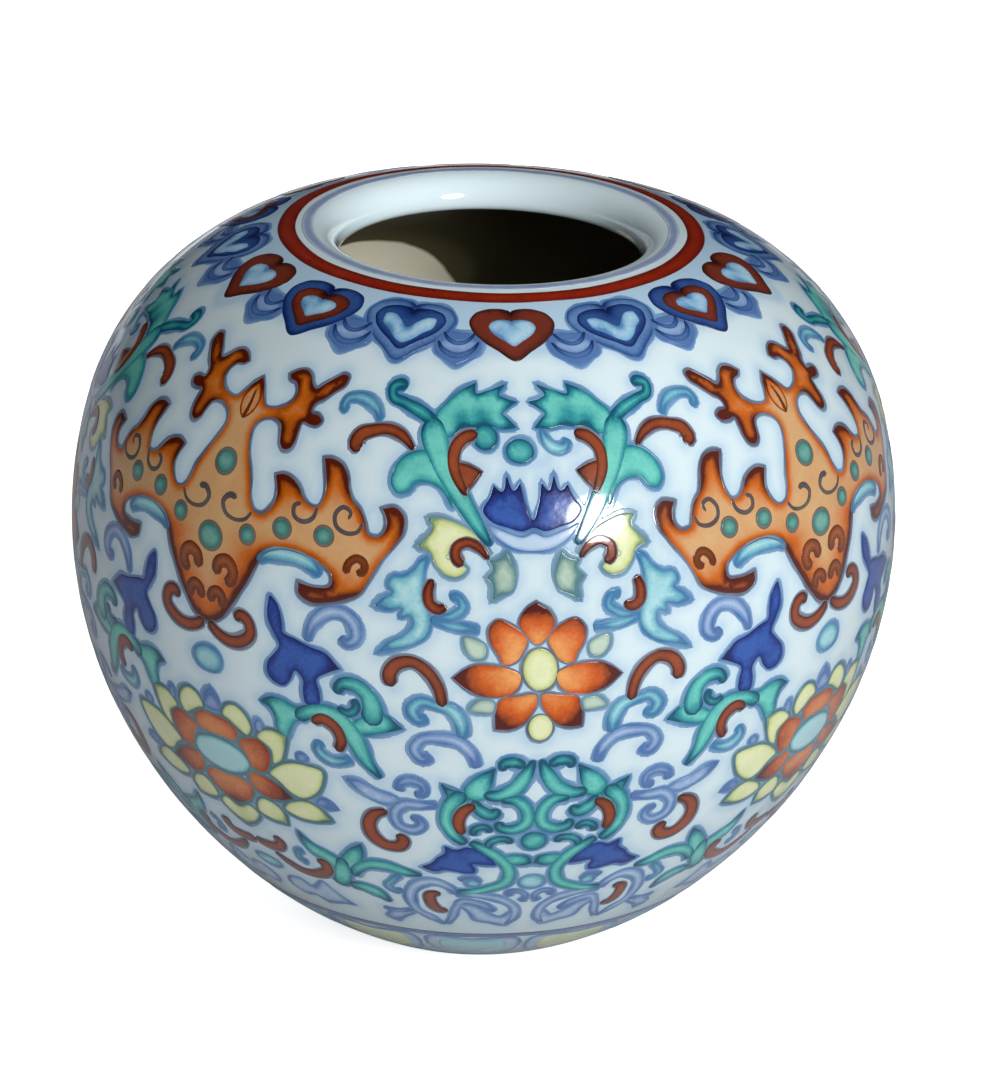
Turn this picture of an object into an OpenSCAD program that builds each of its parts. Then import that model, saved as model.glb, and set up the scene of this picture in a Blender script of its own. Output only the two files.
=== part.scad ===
/* [Body] */
// Widest diameter of the pot, over the glaze
belly_d = 100; // [92:1:110]
// Radius of the arc round the belly, as a share of half the widest diameter
belly_ratio = 1.07; // [1.04:0.01:1.12]
// Angle above the widest line where the shoulder arc begins
shoulder_from = 17; // [14:1:20]
// Radius of the arc over the shoulder, as the same share
shoulder_ratio = 0.61; // [0.58:0.01:0.64]
// Angle where the shoulder flattens into the rim
rim_from = 80; // [77:1:83]
// Radius of the arc that runs up to the crest of the rim, as the same share
rim_ratio = 0.3; // [0.24:0.01:0.36]
// Angle below the widest line where the underside arc begins
under_from = 23.5; // [20:0.5:27]
// Radius of the arc under the belly, as the same share
under_ratio = 1.28; // [1.24:0.01:1.32]
// Radius of the arc that tucks the wall in over the foot, as the same share
tuck_ratio = 0.12; // [0.1:0.01:0.14]

/* [Wall] */
// Thickness of the fired clay wall
clay = 3.4; // [2.8:0.1:4]
// Thickness of the clay floor
floor_t = 4; // [3:0.1:5]
// Thickness of the glaze, inside and outside
glaze = 0.4; // [0.3:0.05:0.5]
// Radius of the edge under the lip
lip_edge = 0.9; // [0.7:0.05:1.2]
// Height of the slip seam between the two thrown halves
seam_h = 0.8; // [0.5:0.1:1.5]

/* [Foot] */
// Outer diameter of the foot ring, over the glaze
foot_d = 34; // [32:0.5:36]
// Height of the foot ring under the flat strip beside it
foot_h = 1.2; // [1:0.1:2]
// Flat strip between the foot ring and the arc that tucks the wall in
foot_in = 0.5; // [0.3:0.1:1]
// Width of the foot ring, over the glaze on both sides
foot_w = 3.6; // [3:0.1:4.5]
// Height of the bare edge that the pot stands on
bare_h = 0.6; // [0.4:0.1:0.8]

/* [Painting] */
// How far the enamel stands proud of the glaze
enamel = 0.15; // [0.1:0.01:0.25]
// Bare strip between the crest of the lip and the iron-red band
red_gap = 2.1; // [1.8:0.1:2.4]
// Width of the iron-red band round the mouth
red_w = 1.6; // [1.3:0.1:2]
// Width of the blue line over the crest of the lip
lip_line_w = 1.6; // [1.2:0.1:1.8]
// Length along the wall from the flat strip up to the top of the blue foot line
foot_line_v = 20.6; // [19:0.2:22]
// Width of the blue foot line
foot_line_w = 1.6; // [1.2:0.1:2]
// Width of the band of panels under the foot line
panel_w = 11; // [8:0.5:12]
// Bare strip round a panel
panel_gap = 0.8; // [0.5:0.1:1.2]
// Number of times the pattern repeats round the pot
repeats = 4; // [3:1:5]
// Heart-shaped lappets in each repeat
lappets = 4; // [3:1:4]
// Panels in each repeat of the foot band
panels = 4; // [3:1:6]
// Length along the wall from the red band down to the middle of the lappets
lappet_v = 5.3; // [5:0.1:6]
// Half the width of a lappet
lappet_r = 4.4; // [3.5:0.1:4.8]
// Length along the wall from the widest line up to the middle of the orange lotus
lotus_v = 2.8; // [0:0.2:5]
// Radius of the orange lotus over its petals
lotus_r = 8.2; // [6.5:0.1:9]
// Length along the wall from the widest line down to the middle of the yellow lotus
yellow_v = 13.5; // [12:0.25:15]
// Radius of the yellow lotus over its outer petals
yellow_r = 11; // [9:0.25:12]
// Length along the wall from the widest line up to the tip of the bat's head
bat_v = 4; // [3:0.25:6]
// Half the span of the bat's wings
bat_r = 21; // [18:0.5:22]
// Length of the bat from its head to the tips of its tail
bat_l = 30; // [26:0.5:30]

/* [Hidden] */

// Largest turn between two points on a curved line, in degrees
turn = 3;
// Points along half the outline of a petal or a lappet
outline_n = 8;
$fn = 120;

function degrees(length, radius) = length / radius * 180 / PI;
function length_of(angle, radius) = angle / 180 * PI * radius;
function polar(rho, a) = rho * [cos(a), sin(a)];
function reverse(list) = [for (i = [len(list) - 1 : -1 : 0]) list[i]];

// Even steps from one angle to the next, without the last one
function steps(from, to) =
    let (n = ceil(abs(to - from) / turn))
    [for (i = [0 : n - 1]) from + (to - from) * i / n];

// Radii of the arcs of the outer line
belly_r = belly_d / 2;
belly_arc = belly_ratio * belly_r;
shoulder_arc = shoulder_ratio * belly_r;
rim_arc = rim_ratio * belly_r;
under_arc = under_ratio * belly_r;
tuck_arc = tuck_ratio * belly_r;

// The foot: the wall tucks in to end flat beside the foot ring, and so sets the height of the widest line
foot_r = foot_d / 2;
recess_r = foot_r - foot_w;
foot_bevel = bare_h / 2;
clay_z = foot_h + glaze;
floor_z = clay_z + floor_t;
under_shift = polar(belly_arc - under_arc, -under_from);
tuck_from = acos((foot_r + foot_in - belly_r + belly_arc - under_shift.x) / (under_arc - tuck_arc));
tuck_shift = under_shift + polar(under_arc - tuck_arc, -tuck_from);
belly_z = foot_h - tuck_shift.y + tuck_arc;

// Centres of the arcs of the outer line: each is tangent to the one before it
belly_c = [belly_r - belly_arc, belly_z];
shoulder_c = belly_c + polar(belly_arc - shoulder_arc, shoulder_from);
rim_c = shoulder_c + polar(shoulder_arc - rim_arc, rim_from);
under_c = belly_c + under_shift;
tuck_c = belly_c + tuck_shift;

// A point of the wall, by the angle that the wall faces and the depth below the outer line
function wall_at(a, depth) =
    a < -tuck_from ? tuck_c + polar(tuck_arc - depth, a)
    : a < -under_from ? under_c + polar(under_arc - depth, a)
    : a < shoulder_from ? belly_c + polar(belly_arc - depth, a)
    : a < rim_from ? shoulder_c + polar(shoulder_arc - depth, a)
    : rim_c + polar(rim_arc - depth, a);

// The angle that the wall faces at a length along it, up from the widest line, and the length at an angle
shoulder_v = length_of(shoulder_from, belly_arc);
rim_v = shoulder_v + length_of(rim_from - shoulder_from, shoulder_arc);
under_v = -length_of(under_from, belly_arc);
tuck_v = under_v - length_of(tuck_from - under_from, under_arc);
function facing(v) =
    v < tuck_v ? -tuck_from + degrees(v - tuck_v, tuck_arc)
    : v < under_v ? -under_from + degrees(v - under_v, under_arc)
    : v < shoulder_v ? degrees(v, belly_arc)
    : v < rim_v ? shoulder_from + degrees(v - shoulder_v, shoulder_arc)
    : rim_from + degrees(v - rim_v, rim_arc);

function along(a) =
    a < -tuck_from ? tuck_v + length_of(a + tuck_from, tuck_arc)
    : a < -under_from ? under_v + length_of(a + under_from, under_arc)
    : a < shoulder_from ? length_of(a, belly_arc)
    : a < rim_from ? shoulder_v + length_of(a - shoulder_from, shoulder_arc)
    : rim_v + length_of(a - rim_from, rim_arc);

// The angle that the wall faces under the belly at a height, and on top at a radius out from the crest
function facing_at_height(z, depth) =
    let (on_under = (under_c.y - z) / (under_arc - depth))
    on_under < sin(tuck_from) ? -asin(on_under) : -asin((tuck_c.y - z) / (tuck_arc - depth));
function facing_off_crest(out) =
    let (on_rim = out / rim_arc)
    on_rim < cos(rim_from) ? acos(on_rim) : acos((rim_c.x + out - shoulder_c.x) / shoulder_arc);

// The wall and the rolled lip: the two arcs of the lip fill the thickness of the wall
wall = clay + 2 * glaze;
lip_round = wall - lip_edge;
crest = wall_at(90, 0);
lip_c = crest - [0, lip_round];
edge_c = lip_c - [lip_round - lip_edge, 0];
lip_under = crest.y - wall;

// Angles where one piece ends and the next begins
seam_a = degrees(seam_h / 2, belly_arc);
red_in_a = facing_off_crest(red_gap);
red_out_a = facing_off_crest(red_gap + red_w);
lip_line_a = facing_off_crest(lip_line_w * 2 / 3);
line_high_v = along(-90) + foot_line_v;
line_low_v = line_high_v - foot_line_w;
line_high_a = facing(line_high_v);
line_low_a = facing(line_low_v);
panel_high_a = facing(line_low_v - panel_gap);
panel_low_a = facing(line_low_v - panel_gap - panel_w);
stops = [-90, -tuck_from, panel_low_a, panel_high_a, line_low_a, line_high_a, -seam_a, seam_a,
         min(red_out_a, rim_from), max(red_out_a, rim_from), red_in_a, lip_line_a, 90];
stations = [for (i = [0 : len(stops) - 2]) each steps(stops[i], stops[i + 1])];

// A line along the wall at a depth, from one angle to another
function wall_line(depth, from, to) =
    [for (a = concat([from], [for (s = stations) if (s > from && s < to) s], [to]))
        wall_at(a, depth)];

// A line round the lip at a depth, from the crest to its underside
function lip_line(depth, from, to) =
    [for (a = concat(steps(from, to), [to]))
        a < 180 ? lip_c + polar(lip_round - depth, a) : edge_c + polar(lip_edge - depth, a)];

// A ring between two depths of the wall and two angles
module wall_ring(top, bottom, from, to) {
    rotate_extrude()
        polygon(concat(wall_line(top, from, to), reverse(wall_line(bottom, from, to))));
}

// The skin of enamel that the painted motifs are cut from
module enamel_skin() {
    wall_ring(-enamel, 0, line_high_a, red_out_a);
}

// A place on the wall, across from an axis and along from the widest line
function place(p) =
    let (q = wall_at(facing(p.y), 0))
    [q.x * sin(degrees(p.x, q.x)), q.y, -q.x * cos(degrees(p.x, q.x))];

// Enamel cut to an outline, on a side of the pot
module side_patch(outline) {
    intersection() {
        enamel_skin();
        rotate([90, 0, 0]) linear_extrude(belly_d)
            polygon([for (p = outline) let (q = place(p)) [q[0], q[1]]]);
    }
}

// Enamel cut to an outline, on top of the shoulder
module top_patch(outline) {
    intersection() {
        enamel_skin();
        translate([0, 0, belly_z]) linear_extrude(belly_z)
            polygon([for (p = outline) let (q = place(p)) [q[0], q[2]]]);
    }
}

// Copies round the pot
module round_pot(count, turned) {
    for (i = [0 : count - 1]) rotate(turned + i * 360 / count) children();
}

// Outline of a petal that points away from the middle of a flower
function petal(middle, from, to, half_w, a) =
    let (side = [for (i = [0 : outline_n])
                     [from + (to - from) * i / outline_n,
                      half_w * pow(sin(180 * i / outline_n), 0.8)]],
         whole = concat(side, [for (i = [outline_n - 1 : -1 : 1]) [side[i].x, -side[i].y]]))
    [for (p = whole) middle + [p.x * cos(a) - p.y * sin(a), p.x * sin(a) + p.y * cos(a)]];

// Outline of a round heart of a flower
function disc(middle, rx, ry) =
    [for (a = steps(0, 360)) if (round(a / turn) % 5 == 0) middle + [rx * cos(a), ry * sin(a)]];

// Outline of a heart-shaped lappet that points down
function heart(middle, half_w) =
    [for (i = [0 : 3 * outline_n - 1])
        let (t = 360 * i / (3 * outline_n))
        middle + half_w * [pow(sin(t), 3),
                           0.85 * cos(t) - 0.35 * cos(2 * t) - 0.15 * cos(3 * t)]];

// Thrown lower half, with the floor
module lower_body() {
    color("ivory") rotate_extrude()
        polygon(concat(
            wall_line(glaze, -90, -seam_a),
            reverse(wall_line(glaze + clay, facing_at_height(floor_z, glaze + clay), -seam_a)),
            [[0, floor_z], [0, clay_z]]));
}

// Thrown upper half, up to the rim
module upper_body() {
    color("ivory") wall_ring(glaze, glaze + clay, seam_a, rim_from);
}

// Ring of slip between the halves
module luting_seam() {
    color("wheat") wall_ring(glaze, glaze + clay, -seam_a, seam_a);
}

// Rolled lip round the mouth
module mouth_lip() {
    color("ivory") rotate_extrude()
        polygon(concat(
            wall_line(glaze, rim_from, 90),
            lip_line(glaze, 90, 270),
            reverse(wall_line(glaze + clay, rim_from, 90))));
}

// Turned foot ring: bare clay where it stands on the table
module foot_ring() {
    color("tan") rotate_extrude()
        polygon([[recess_r + glaze + foot_bevel, 0], [foot_r - glaze - foot_bevel, 0],
                 [foot_r - glaze, foot_bevel], [foot_r - glaze, clay_z],
                 [recess_r + glaze, clay_z], [recess_r + glaze, foot_bevel]]);
}

// Clear glaze over the outside, from the foot ring to the underside of the lip
module outer_glaze() {
    color("lightcyan") rotate_extrude()
        polygon(concat(
            [[foot_r, bare_h], [foot_r, foot_h]],
            wall_line(0, -90, 90),
            lip_line(0, 90, 270),
            reverse(lip_line(glaze, 90, 270)),
            reverse(wall_line(glaze, -90, 90)),
            [[foot_r - glaze, clay_z], [foot_r - glaze, bare_h]]));
}

// Glaze over the inside, with the floor and the underside of the lip
module inner_glaze() {
    floor_top = floor_z + glaze;
    color("cornsilk") rotate_extrude()
        polygon(concat(
            [[0, floor_z]],
            wall_line(glaze + clay, facing_at_height(floor_z, glaze + clay), 90),
            [[edge_c.x, lip_under + glaze], [edge_c.x, lip_under]],
            reverse(wall_line(wall, facing_at_height(floor_top, wall), 90)),
            [[0, floor_top]]));
}

// Glaze in the recess under the base and down the inside of the foot ring
module base_glaze() {
    color("azure") rotate_extrude()
        polygon([[0, clay_z], [recess_r + glaze, clay_z], [recess_r + glaze, bare_h],
                 [recess_r, bare_h], [recess_r, foot_h], [0, foot_h]]);
}

// Blue line over the crest of the lip, two thirds of it outside the crest
module cobalt_lip_line() {
    line_end = 90 + degrees(lip_line_w / 3, lip_round);
    color("slateblue") rotate_extrude()
        polygon(concat(
            wall_line(-enamel, lip_line_a, 90),
            lip_line(-enamel, 90, line_end),
            reverse(lip_line(0, 90, line_end)),
            reverse(wall_line(0, lip_line_a, 90))));
}

// Blue line above the panels of the foot
module cobalt_foot_line() {
    color("slateblue") wall_ring(-enamel, 0, line_low_a, line_high_a);
}

// Iron-red ring round the mouth
module iron_red_band() {
    color("firebrick") wall_ring(-enamel, 0, red_out_a, red_in_a);
}

// Panels of pale enamel round the foot
module foot_panels() {
    color("darkseagreen") difference() {
        wall_ring(-enamel, 0, panel_low_a, panel_high_a);
        round_pot(repeats * panels, 0)
            translate([-panel_gap / 2, -belly_d, 0]) cube([panel_gap, belly_d, belly_z]);
    }
}

// Heart-shaped lappets round the shoulder
module ruyi_lappets() {
    color("royalblue") round_pot(repeats * lappets, 0)
        top_patch(heart([0, along(red_out_a) - lappet_v], lappet_r));
}

// Orange lotus in the middle of each repeat: its petals, with a yellow heart
lotus_heart_r = 0.3 * lotus_r;
lotus_petal_a = [90, 40, 0, -55, -125, 180, 140];
module lotus_petals() {
    color("orangered") round_pot(repeats, 0) for (a = lotus_petal_a)
        side_patch(petal([0, lotus_v], lotus_heart_r * 1.05, lotus_r, lotus_r * 0.24, a));
}

module lotus_hearts() {
    color("khaki") round_pot(repeats, 0)
        side_patch(disc([0, lotus_v], lotus_heart_r * 0.9, lotus_heart_r * 1.2));
}

// Yellow lotus between the repeats: two rows of petals round a pale heart
yellow_turn = 180 / repeats;
yellow_n = 12;
inner_n = 8;
yellow_inner_r = 0.62 * yellow_r;
yellow_heart_r = 0.4 * yellow_r;
module yellow_petals() {
    color("palegoldenrod") round_pot(repeats, yellow_turn) for (i = [0 : yellow_n - 1])
        side_patch(petal([0, -yellow_v], yellow_inner_r * 1.08, yellow_r, yellow_r * 0.15,
                         i * 360 / yellow_n));
}

module yellow_lotus_petals() {
    color("coral") round_pot(repeats, yellow_turn) for (i = [0 : inner_n - 1])
        side_patch(petal([0, -yellow_v], yellow_heart_r * 1.06, yellow_inner_r, yellow_r * 0.13,
                         i * 360 / inner_n));
}

module yellow_lotus_hearts() {
    color("aquamarine") round_pot(repeats, yellow_turn)
        side_patch(disc([0, -yellow_v], yellow_heart_r, yellow_heart_r * 0.8));
}

// Bat flying head down between the repeats: half its outline, as shares of span and length
bat_half = [[0, 0], [0.2, 0.1], [0.34, 0.28], [0.5, 0.34], [0.68, 0.34], [0.55, 0.2],
            [0.86, 0.22], [0.96, 0.4], [1, 0.58], [0.86, 0.47], [0.74, 0.52], [0.62, 0.74],
            [0.58, 0.54], [0.46, 0.48], [0.4, 0.64], [0.34, 0.46], [0.22, 0.5], [0.2, 0.7],
            [0.5, 0.84], [0.56, 1], [0.3, 0.94], [0.12, 0.86], [0, 0.92]];
module bats() {
    half = [for (p = bat_half) [p.x * bat_r, bat_v + p.y * bat_l]];
    inner_points = [for (i = [1 : len(half) - 2]) half[i]];
    outline = concat(half, [for (p = reverse(inner_points)) [-p.x, p.y]]);
    color("darkorange") round_pot(repeats, yellow_turn) side_patch(outline);
}

lower_body();
upper_body();
luting_seam();
mouth_lip();
foot_ring();
outer_glaze();
inner_glaze();
base_glaze();
cobalt_lip_line();
cobalt_foot_line();
iron_red_band();
foot_panels();
ruyi_lappets();
lotus_petals();
lotus_hearts();
yellow_petals();
yellow_lotus_petals();
yellow_lotus_hearts();
bats();
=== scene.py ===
import math

import bpy
import numpy as np
from mathutils import Matrix, Vector, geometry
from mathutils.kdtree import KDTree


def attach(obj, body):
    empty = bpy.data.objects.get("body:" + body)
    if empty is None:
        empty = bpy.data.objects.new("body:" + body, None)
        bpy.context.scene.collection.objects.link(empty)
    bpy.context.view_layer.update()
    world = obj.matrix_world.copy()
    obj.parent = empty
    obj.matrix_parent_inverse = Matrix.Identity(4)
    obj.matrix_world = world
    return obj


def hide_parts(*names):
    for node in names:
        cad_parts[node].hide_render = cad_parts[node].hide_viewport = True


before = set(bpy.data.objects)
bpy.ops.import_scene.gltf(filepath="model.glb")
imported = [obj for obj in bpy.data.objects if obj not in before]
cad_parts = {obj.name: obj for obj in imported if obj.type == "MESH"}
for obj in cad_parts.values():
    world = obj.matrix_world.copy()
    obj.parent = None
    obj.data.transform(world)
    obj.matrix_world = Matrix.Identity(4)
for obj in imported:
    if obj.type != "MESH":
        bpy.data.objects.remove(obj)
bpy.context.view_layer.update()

# Shape of the pot in mm, as in the CAD
MM = 0.001
BELLY_R = 50.0
FOOT_R = 17.0
FOOT_H = 1.2
FOOT_IN = 0.5
BARE_H = 0.6
BELLY_ARC = 53.5
SHOULDER_ARC = 30.5
RIM_ARC = 15.0
UNDER_ARC = 64.0
TUCK_ARC = 6.0
SHOULDER_FROM = math.radians(17)
RIM_FROM = math.radians(80)
UNDER_FROM = math.radians(23.5)
GLAZE = 0.4
CLAY_Z = FOOT_H + GLAZE
FLOOR_Z = CLAY_Z + 4.0
WALL = 4.2
LIP_EDGE = 0.9
LIP_ROUND = WALL - LIP_EDGE

# The flat drawing: mm along the widest line for each degree round the pot
FLAT = BELLY_R * math.pi / 180
# Degrees after which the drawing repeats
REPEAT = 90
# The drawing leans a little to the left as it goes up, in degrees for each mm
LEAN = -0.045
LEAN_FROM = 3.0
# Waves of a hand-held brush, each with its size, its turn with x and with v, and its start
SWAY_ROUND = [(0.12, 5, 0.13, 0), (0.1, 7, -0.21, 1)]
SWAY_UP = [(0.1, 6, 0.17, 2), (0.08, 11, -0.1, 0)]
PRESS = [(0.25, 1.1, 0.7, 0), (0.2, 0.8, -1.3, 1)]

# How deep the edges of the paint are buried in the glaze, and how high the paint stands over it, in mm
BURY = 0.005
LINE_LIFT = 0.006
FILL_LIFT = 0.012
DETAIL_LIFT = 0.026
OVER_LIFT = 0.03
BAT_MARK_LIFT = 0.04
BAT_SPOT_LIFT = 0.045
DARK_HEART_LIFT = 0.034
RED_HEART_LIFT = 0.044
PALE_HEART_LIFT = 0.054
PANEL_INNER_LIFT = 0.05
# How much a fill rises from its edge to its middle
RISE = 0.006
# How much further a stroke is lifted, so that it lies over blobs of its colour
STROKE_OVER = 0.005

# How finely the drawing is meshed: points on a line, rings inside the edge of a fill, grid within them
STEP = 0.32
RING_DEPTHS = (0.2, 0.5)
GRID_PITCH = 0.6
GRID_ROWS = 0.87 * GRID_PITCH
GRID_MARGIN = 0.75
# Points across a stroke, as shares of half its width; its least width, and half the width of its ends
ACROSS = np.array([-1, -0.82, -0.45, 0, 0.45, 0.82, 1])
THIN_STROKE = 0.15
STROKE_TIP = 0.01
# How far from its edge a fill or a stroke has most of its rise
FILL_ROUND = 0.5
STROKE_ROUND = 0.3
# Soft edge of an underglaze line: its share of the line's width, and the tone and lift where it begins
SOFT_EDGE = 0.8
SOFT_TONE = 0.75
SOFT_LIFT = 0.4
# How far the line round a blob goes on under the enamel
TUCKED = 0.2


def polar(rho, a):
    return np.array([rho * math.cos(a), rho * math.sin(a)])


def outer_arcs():
    """Arcs from the foot to the underside of the lip, the length where they end, and the belly's height.

    Each arc is the length along the wall where it begins, its angle there, its radius and its centre.
    """
    under_shift = polar(BELLY_ARC - UNDER_ARC, -UNDER_FROM)
    tuck_r = FOOT_R + FOOT_IN - BELLY_R + BELLY_ARC - under_shift[0]
    tuck_from = math.acos(tuck_r / (UNDER_ARC - TUCK_ARC))
    tuck_shift = under_shift + polar(UNDER_ARC - TUCK_ARC, -tuck_from)
    belly_z = FOOT_H - tuck_shift[1] + TUCK_ARC
    belly_c = np.array([BELLY_R - BELLY_ARC, belly_z])
    shoulder_c = belly_c + polar(BELLY_ARC - SHOULDER_ARC, SHOULDER_FROM)
    rim_c = shoulder_c + polar(SHOULDER_ARC - RIM_ARC, RIM_FROM)
    lip_c = rim_c + [0, RIM_ARC - LIP_ROUND]
    edge_c = lip_c - [LIP_ROUND - LIP_EDGE, 0]
    turns = [
        (-math.pi / 2, TUCK_ARC, belly_c + tuck_shift),
        (-tuck_from, UNDER_ARC, belly_c + under_shift),
        (-UNDER_FROM, BELLY_ARC, belly_c),
        (SHOULDER_FROM, SHOULDER_ARC, shoulder_c),
        (RIM_FROM, RIM_ARC, rim_c),
        (math.pi / 2, LIP_ROUND, lip_c),
        (math.pi, LIP_EDGE, edge_c),
    ]
    ends = [a for a, _, _ in turns[1:]] + [1.5 * math.pi]
    v = -UNDER_FROM * BELLY_ARC - UNDER_ARC * (tuck_from - UNDER_FROM) - TUCK_ARC * (math.pi / 2 - tuck_from)
    arcs = []
    for (a, radius, centre), end in zip(turns, ends):
        arcs.append((v, a, radius, *centre))
        v += (end - a) * radius
    return np.array(arcs), v, belly_z


ARCS, LIP_END, BELLY_Z = outer_arcs()
LIP, THROAT = ARCS[5], ARCS[6]
FOOT_V = ARCS[0, 0]
CREST_V = LIP[0]
MOUTH_Z = LIP[4]
THROAT_R = THROAT[3]


def wall(v, lift=0.0):
    """Radius and height of the wall at lengths along it, lifted off it."""
    v = np.asarray(v, float)
    i = np.clip(np.searchsorted(ARCS[:, 0], v, side="right") - 1, 0, len(ARCS) - 1)
    start, a, radius, r, z = np.moveaxis(ARCS[i], -1, 0)
    a = a + (v - start) / radius
    rho = radius + lift
    return r + rho * np.cos(a), z + rho * np.sin(a)


def round_pot(theta, r, z):
    """Points in metres at angles round the pot; 0 faces the front."""
    return np.stack([r * np.sin(theta), -r * np.cos(theta), z + 0 * theta], axis=-1) * MM


def sway(waves, x, v, middle=0):
    """Sum of the brush's waves at points, round a middle."""
    return sum((size * np.sin(a * x + b * v + start) for size, a, b, start in waves), middle)


def place(x, v, lift):
    """Points of the drawing laid on the pot, with the small sway of the brush."""
    theta = np.radians(x + LEAN * (v - LEAN_FROM))
    r, z = wall(v + sway(SWAY_UP, theta, v), lift)
    return round_pot(theta + sway(SWAY_ROUND, theta, v) / BELLY_R, r, z)


# Meshes
def new_object(name, points, faces, **values):
    """Smooth mesh object with one float attribute for each of the values."""
    mesh = bpy.data.meshes.new(name)
    mesh.from_pydata(np.asarray(points).reshape(-1, 3).tolist(), [], faces)
    mesh.polygons.foreach_set("use_smooth", [True] * len(mesh.polygons))
    for key, value in values.items():
        data = mesh.attributes.new(key, "FLOAT", "POINT").data
        data.foreach_set("value", np.asarray(value, np.float32))
    obj = bpy.data.objects.new(name, mesh)
    bpy.context.scene.collection.objects.link(obj)
    return obj


def finish_piece(obj, material, slot, *nodes):
    """Piece on the pot's one body, with its material; the CAD nodes that it replaces are hidden. Its slot is
    not used.
    """
    obj.data.materials.append(material)
    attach(obj, "root")
    if nodes:
        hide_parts(*nodes)


def turns_round(steps):
    """Column of even angles all round."""
    return np.radians(np.arange(steps) * 360 / steps)[:, None]


def ring_faces(steps, n):
    """Faces of a closed ring that has n points round its section at each step."""
    faces = []
    for i in range(steps):
        here, there = i * n, (i + 1) % steps * n
        for j in range(n):
            k = (j + 1) % n
            faces.append((here + j, there + j, there + k, here + k))
    return faces


def revolve(name, section, steps, **values):
    """Closed ring with a section of (radius, height) points, counter-clockwise."""
    points = round_pot(turns_round(steps), section[None, :, 0], section[None, :, 1])
    return new_object(name, points, ring_faces(steps, len(section)), **values)


def smoothstep(x):
    x = np.clip(x, 0, 1)
    return x * x * (3 - 2 * x)


# Lines of the drawing in flat mm
def trace(points, corner, closed):
    """Even points on a smooth line through points; a line keeps its corners."""
    p = np.asarray(points, float)
    n = len(p)
    spans = n if closed else n - 1
    step = np.roll(p, -1, axis=0) - p
    size = np.maximum(np.linalg.norm(step[:, :2], axis=1), 1e-6)[:, None]
    slope = step / size
    before, size_before = np.roll(slope, 1, axis=0), np.roll(size, 1, axis=0)
    tangent = (before * size + slope * size_before) / (size + size_before)
    corner = np.array(corner, bool)
    if not closed:
        corner[[0, -1]] = True
    out = []
    for i in range(spans):
        j = (i + 1) % n
        d = size[i]
        m0 = (slope[i] if corner[i] else tangent[i]) * d
        m1 = (slope[i] if corner[j] else tangent[j]) * d
        t = np.linspace(0, 1, max(2, math.ceil(d[0] / STEP)) + 1)[:-1, None]
        out.append((2 * t**3 - 3 * t**2 + 1) * p[i] + (t**3 - 2 * t**2 + t) * m0
                   + (3 * t**2 - 2 * t**3) * p[j] + (t**3 - t**2) * m1)
    if not closed:
        out.append(p[-1:])
    return np.concatenate(out)


def left_of(p, closed):
    """Unit vectors to the left of a line."""
    if closed:
        t = np.roll(p, -1, axis=0) - np.roll(p, 1, axis=0)
    else:
        t = np.gradient(p, axis=0)
    t /= np.maximum(np.linalg.norm(t, axis=1), 1e-9)[:, None]
    return np.stack([-t[:, 1], t[:, 0]], axis=1)


def distance(points, rim):
    """Distance from points to a closed line."""
    a, b = rim, np.roll(rim, -1, axis=0)
    ab = b - a
    ap = points[:, None] - a[None]
    t = np.clip((ap * ab).sum(2) / np.maximum((ab * ab).sum(1), 1e-12), 0, 1)
    return np.linalg.norm(ap - t[..., None] * ab, axis=2).min(1)


def inside(points, rim):
    """Which points are inside a closed line."""
    a, b = rim[None], np.roll(rim, -1, axis=0)[None]
    x, y = points[:, None, 0], points[:, None, 1]
    across = (a[..., 1] > y) != (b[..., 1] > y)
    rise = np.where(b[..., 1] == a[..., 1], 1, b[..., 1] - a[..., 1])
    hit = x < (b[..., 0] - a[..., 0]) * (y - a[..., 1]) / rise + a[..., 0]
    return (across & hit).sum(1) % 2 == 1


def grid_inside(rim):
    """Points of a triangular grid inside a closed line, clear of its edge."""
    low, high = rim.min(0), rim.max(0)
    rows = np.arange(low[1], high[1], GRID_ROWS)
    columns = np.arange(low[0], high[0], GRID_PITCH)
    shift = (np.arange(len(rows)) % 2) * GRID_PITCH / 2
    x = columns[None] + shift[:, None]
    y = np.broadcast_to(rows[:, None], x.shape)
    grid = np.stack([x.reshape(-1), y.reshape(-1)], axis=1)
    grid = grid[inside(grid, rim)]
    if len(grid):
        grid = grid[distance(grid, rim) > GRID_MARGIN]
    return grid


def close_rim(outline):
    """Outline of a blob as even points, counter-clockwise; tips in square brackets stay sharp."""
    flat = [(x * FLAT, v) for x, v in outline]
    rim = trace(flat, [isinstance(q, list) for q in outline], True)
    area = (rim[:, 0] * np.roll(rim[:, 1], -1) - np.roll(rim[:, 0], -1) * rim[:, 1]).sum()
    return rim if area > 0 else rim[::-1]


class Patch:
    """Part of the drawing: flat points with their lift, tone and faces."""

    def __init__(self, flat, lift, tone, tris=(), quads=()):
        self.flat = flat
        self.lift = lift
        self.tone = tone
        self.tris = np.asarray(tris, int).reshape(-1, 3)
        self.quads = np.asarray(quads, int).reshape(-1, 4)


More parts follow.
